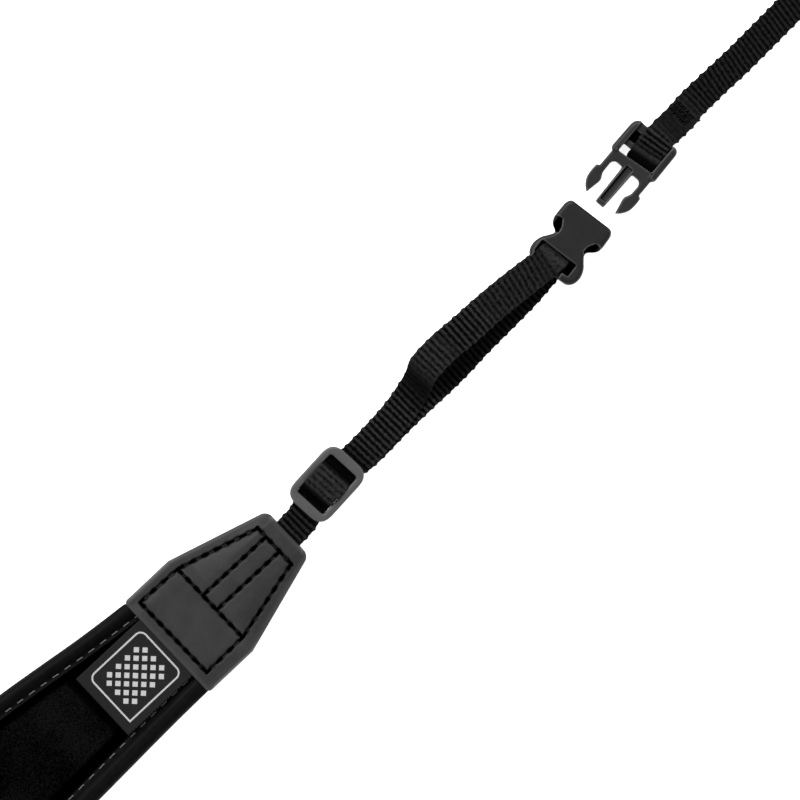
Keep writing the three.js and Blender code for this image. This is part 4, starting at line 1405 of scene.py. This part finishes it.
def convexity(mesh, points):
    """How far each point of an even mesh stands out from its neighbours, 0 on flats."""
    count = len(points)
    pairs = np.zeros(len(mesh.edges) * 2, int)
    mesh.edges.foreach_get("vertices", pairs)
    first, second = pairs.reshape(-1, 2).T
    links = np.bincount(first, minlength=count) + np.bincount(second, minlength=count)

    def average(values):
        total = np.stack([np.bincount(first, values[second, i], count)
                          + np.bincount(second, values[first, i], count)
                          for i in range(values.shape[1])], 1)
        return total / np.maximum(links, 1)[:, None]

    normals = np.zeros(count * 3)
    mesh.vertices.foreach_get("normal", normals)
    wide = points
    for _ in range(6):
        wide = average(wide)
    stand = ((points - wide) * normals.reshape(-1, 3)).sum(1)[:, None]
    return average(average(stand))[:, 0]


def add_skin(part, voxel):
    skin = part.modifiers.new("skin", "REMESH")
    skin.mode = "VOXEL"
    skin.voxel_size = voxel


def moulded(name, solids, at, side, voxel, cavities=(), carve=None):
    """One moulded part from overlapping solids in its own millimetres. Its convex edges get a
    painted highlight, and what lies in one of the cavities, boxes of low and high x, y and z,
    gets painted shade."""
    together = bmesh.new()
    for solid in solids:
        together.from_mesh(solid.data)
        bpy.data.objects.remove(solid)
    mesh = bpy.data.meshes.new(name)
    together.to_mesh(mesh)
    together.free()
    part = add_object(name, mesh)
    add_skin(part, voxel)
    if carve:
        part.modifiers.new("channel", "BOOLEAN").object = carve
        add_skin(part, voxel)
    smooth = part.modifiers.new("ease", "SMOOTH")
    smooth.factor = 0.5
    smooth.iterations = SMOOTHING_ROUNDS
    mesh = evaluated_mesh(part)
    part.modifiers.clear()
    part.data = mesh
    if carve:
        bpy.data.objects.remove(carve)
    assert len(mesh.vertices), f"{name} came out empty"
    points = np.zeros(len(mesh.vertices) * 3)
    mesh.vertices.foreach_get("co", points)
    points = points.reshape(-1, 3)
    # A painted highlight on convex edges, and painted shade inside the cavity boxes.
    rubbed = smoothstep(convexity(mesh, points), 0.1 * voxel, 0.45 * voxel)
    deep = np.zeros(len(points))
    for low, high in cavities:
        inside = np.minimum(points - np.array(low), np.array(high) - points).min(1)
        deep = np.maximum(deep, smoothstep(inside, -0.1, 0.35))
    for label, values in (("rubbed", rubbed), ("deep", deep)):
        layer = mesh.attributes.new(label, "FLOAT", "POINT")
        layer.data.foreach_set("value", values.astype(np.float32))
    points = to_row(side, placed(points, at))
    mesh.vertices.foreach_set("co", points.reshape(-1))
    if side < 0:
        mesh.flip_normals()
    mesh.shade_smooth()
    mesh.update()
    return part


# %% [markdown]
# ### The slider
#
# A rectangular ring with round corners. Its two end bars are relieved below, so that the webbing
# passes under them, and a low bar across the middle is what the webbing wraps round.


# %% Slider
SLIDER_AT = (77.6, 0.35, 2.6)
SLIDER_BOTTOM, SLIDER_TOP, SLIDER_RIM = 2.6, 5.6, 0.6
SLIDER_OUTLINE = rounded(rectangle(-12.3, 12.3, 8.65), 5.4)
SLIDER_OPENING = rounded(rectangle(-8.7, 8.7, 6.15), 1.2)
MIDDLE_BAR = rectangle(-1.0, 1.0, 7.1)
END_BAR_RELIEFS = [rectangle(-13.5, -7.7, 7.0), rectangle(7.7, 13.5, 7.0)]
SLIDER_VOXEL = 0.225


def build_slider(name, side):
    ring = plate([SLIDER_OUTLINE, SLIDER_OPENING], SLIDER_BOTTOM, SLIDER_TOP, SLIDER_RIM)
    middle = plate([MIDDLE_BAR], SLIDER_BOTTOM, 4.0, 0.2)
    reliefs = [plate([relief], 1.6, 3.4) for relief in END_BAR_RELIEFS]
    return moulded(f"{name}_slider_moulded", [cut(ring, *reliefs), middle], SLIDER_AT, side,
                   SLIDER_VOXEL)


for name, side in SIDES.items():
    finish_piece(build_slider(name, side), "plastic_slider", f"{name}_slider",
                 material=SLIDER_PLASTIC)

# %% [markdown]
# ### The buckle's socket
#
# A hollow shell, open at its mouth, where the prongs come in, and at both sides, where fingers
# squeeze them. Its rear widens into two lobes around a slot, and the webbing turns round the bar
# behind the slot.


# %% Socket
SOCKET_AT = (183.6, -1.7, 7.5)
SOCKET_HEIGHT, SOCKET_WALL, SOCKET_RIM = 6.8, 1.2, 1.3
SOCKET_VOXEL = 0.23
# Outlines are points with a corner radius each. Both sides share the lobe of the webbing's slot.
LOBE = [(-0.4, 5.2, 0.8), (-0.3, 8.0, 1.6), (1.6, 9.8, 1.8), (4.6, 10.3, 1.6), (7.4, 9.5, 1.8),
        (11.4, 6.55, 1.4)]
NEAR_SIDE = [*LOBE, (12.7, 6.55, 1.0), (15.2, 9.5, 1.6), (16.8, 9.95, 1.6), (22.4, 9.8, 1.6),
             (24.3, 8.6, 1.8)]
FAR_SIDE = [*LOBE, (12.2, 6.6, 0.8), (13.6, 8.9, 1.3), (15.6, 10.0, 1.5), (22.4, 9.8, 1.6),
            (24.3, 8.6, 1.8)]
FINGER_NOTCH = [(12.2, 5.4), (14.6, 5.6), (17.3, 7.2), (17.1, 8.4), (15.4, 12.4), (12.0, 12.4)]
# Boxes in which the socket gets painted shade: the slot's pocket, the throat and the notches.
SLOT_CAVITY = ((2.0, -6.5, -1), (7.4, 8.4, 6.0))
THROAT_CAVITY = ((8.9, -4.4, 1.0), (17.0, 4.4, 5.7))
NOTCH_CAVITIES = [((11.5, -8.9, 0.7), (17.4, -4.8, 6.0)), ((11.5, 4.8, 0.7), (17.4, 8.9, 6.0))]


def box_outline(x0, x1, y0, y1):
    return [(x0, y0), (x1, y0), (x1, y1), (x0, y1)]


def build_socket(name, side):
    """A shell, from which all hollows are cut: inside, at the mouth, at both sides and behind."""
    shape = rounded([(x, -y, r) for x, y, r in NEAR_SIDE] + FAR_SIDE[::-1], 1.0)
    low, high, above = SOCKET_WALL, SOCKET_HEIGHT - SOCKET_WALL, SOCKET_HEIGHT + 1
    shell = plate([shape], 0, SOCKET_HEIGHT, SOCKET_RIM)
    cavity = plate([rounded(rectangle(17.0, 26.0, 8.4), 0.5)], low, high, 0.4)
    throat = plate([rectangle(8.3, 18.0, 4.4)], low, high, 0.3)
    windows = plate([rectangle(8.9, 17.0, 12.0)], low, high)
    # The pocket keeps a floor beside the slot, put there to be darkened with painted shade.
    pocket = plate([rounded(box_outline(2.25, 7.3, -6.4, 8.3), 0.8)], low, above)
    slot = plate([box_outline(2.2, 6.8, -4.05, 7.2)], -1.1, above + 0.2)
    under_bar = plate([box_outline(-1.9, 3.0, -4.15, 7.3)], -1, 1.6)
    over_bar = plate([box_outline(-1.8, 3.1, -4.0, 7.7)], 3.9, above)
    notches = [plate([rounded([(x, sign * y) for x, y in FINGER_NOTCH[::sign]], 0.4)], 3.5, 8.0)
               for sign in (1, -1)]
    body = cut(shell, cavity, throat, windows, pocket, slot, under_bar, over_bar, *notches)
    return moulded(f"{name}_socket_moulded", [body], SOCKET_AT, side, SOCKET_VOXEL,
                   [SLOT_CAVITY, THROAT_CAVITY, *NOTCH_CAVITIES])


for name, side in SIDES.items():
    finish_piece(build_socket(name, side), "plastic_socket", f"{name}_buckle_socket",
                 material=SOCKET_PLASTIC)

# %% [markdown]
# ### The buckle's plug
#
# Two sprung prongs with arrow heads and a guide tongue between them stand on a frame. The frame
# has two low bars, which the camera's webbing is threaded round.


# %% Plug
PLUG_AT = (213.2, 2.3, 5.0)
PRONG_BOTTOM, PRONG_TOP = 0.8, 4.4
FRAME_HEIGHT, FRAME_RIM = 5.2, 1.3
PLUG_VOXEL = 0.215
PRONG = [(17.2, 8.6, 0.2), (9.75, 8.6, 0.2), (9.5, 9.65, 0.3), (6.8, 9.8, 1.6), (3.8, 9.5, 1.6),
         (1.5, 8.1, 1.2), (-0.2, 6.15, 0.1), (3.2, 5.5, 0.8), (6.2, 4.85, 1.2), (8.4, 6.2, 1.0),
         (12.9, 6.25, 1.0), (13.9, 5.0, 0.8), (17.2, 4.6, 0.2)]
# How far the head of each prong stands from where the outline has it, and how far its root.
HEAD_SHIFT = {1: -0.5, -1: 0.0}
ROOT_SHIFT = {1: 0.0, -1: 0.7}
CROSSBAR = rounded([(13.9, -7.9), (18.5, -7.9), (17.15, 7.9), (13.9, 7.9)], 0.4)
TONGUE = rounded([(-1.1, -1.8), (15.0, -2.2), (15.0, 2.2), (-1.1, 1.8)], 0.3)
CHANNEL = rounded([(0.7, -1.15), (15.3, -1.3), (15.3, 1.3), (0.7, 1.15)], 0.3)
# Painted shade in the tongue's channel.
CHANNEL_SHADE = ((0.5, 0.55, 2.6), (15.4, 1.6, 4.0))
PLUG_FRAME = rounded([(16.3, -9.7, 1.4), (30.7, -9.45, 2.5), (30.3, 9.45, 3.6),
                      (16.3, 9.7, 1.4)], 2.0)
FRAME_HOLLOW = [(18.7, -6.9), (32.0, -6.9), (32.0, 6.9), (17.35, 6.9)]
LOW_BARS = [rectangle(20.4, 22.7, 7.5), rectangle(26.7, 30.0, 7.5)]


def prong(sign):
    shape = [(x + HEAD_SHIFT[sign] * (x < 10) + ROOT_SHIFT[sign] * (x > 17), sign * y, radius)
             for x, y, radius in PRONG]
    return plate([rounded(shape, 1.0)], PRONG_BOTTOM, PRONG_TOP, 0.45)


def build_plug(name, side):
    """Prongs, crossbar and tongue in one plate, and a taller frame around two low bars."""
    solids = [prong(1), prong(-1), plate([CROSSBAR], PRONG_BOTTOM, PRONG_TOP, 0.4),
              plate([TONGUE], PRONG_BOTTOM, PRONG_TOP, 0.3)]
    above = FRAME_HEIGHT + 1.3
    hollow = plate([FRAME_HOLLOW], -1, above)
    step = plate([rectangle(15.0, 18.8, 7.4)], 4.35, above)
    solids.append(cut(plate([PLUG_FRAME], 0, FRAME_HEIGHT, FRAME_RIM), hollow, step))
    solids += [plate([bar], 1.6, 3.4, 0.5) for bar in LOW_BARS]
    return moulded(f"{name}_plug_moulded", solids, PLUG_AT, side, PLUG_VOXEL, [CHANNEL_SHADE],
                   carve=plate([CHANNEL], 2.9, 6.0, 0.15))


for name, side in SIDES.items():
    finish_piece(build_plug(name, side), "plastic_plug", f"{name}_buckle_plug",
                 material=PLUG_PLASTIC)

# %% [markdown]
# ## The studio
#
# The strap lies on a white sheet that glows by itself, like a light table, so shadows on it vanish
# and every rim has a light outline. The sky gives an even fill. One soft lamp shines across the
# strap, so that the ribs, rims and grooves have a light and a dark side, and the bow throws its
# shadow on the webbing under it.


# %% Floor and lights
TABLE_GLOW = 0.8
TABLE_REACH = 30
TABLE_DROP = 0.2 * MM
SKY = 0.6


def build_stage():
    floor = bpy.data.meshes.new("floor")
    corners = [(x * TABLE_REACH, y * TABLE_REACH, 0)
               for x, y in ((-1, -1), (1, -1), (1, 1), (-1, 1))]
    floor.from_pydata(corners, [], [(0, 1, 2, 3)])
    floor.transform(Matrix.Translation((0, 0, -TABLE_DROP)))
    glowing_sheet, tree, shader = start_material("glowing white sheet", 0.9, 0.1)
    speck = speckle_in(tree, 4, 900, 0.5)
    # The sheet glows, though it is no lamp, and so washes out the shadows on it.
    fill(shader, {"Base Color": grey_between(speck["Mask"], 244, 246),
                  "Emission Color": (1, 1, 1, 1), "Emission Strength": TABLE_GLOW})
    floor.materials.append(glowing_sheet)
    stage = add_object("floor", floor)


def add_sun(name, strength, angle, direction):
    lamp = bpy.data.lights.new(name, "SUN")
    lamp.energy = strength
    lamp.angle = math.radians(angle)
    holder = add_object(name, lamp)
    holder.rotation_euler = Vector(direction).to_track_quat("-Z", "Y").to_euler()


build_stage()
add_sun("key", 2.6, 25, (-0.22, -0.7, -1.0))
world = bpy.data.worlds.new("sky")
world.use_nodes = True
fill(world.node_tree.nodes["Background"].inputs, {"Strength": SKY, "Color": (1, 1, 1, 1)})
bpy.context.scene.world = world
bpy.context.scene.view_settings.view_transform = "Standard"
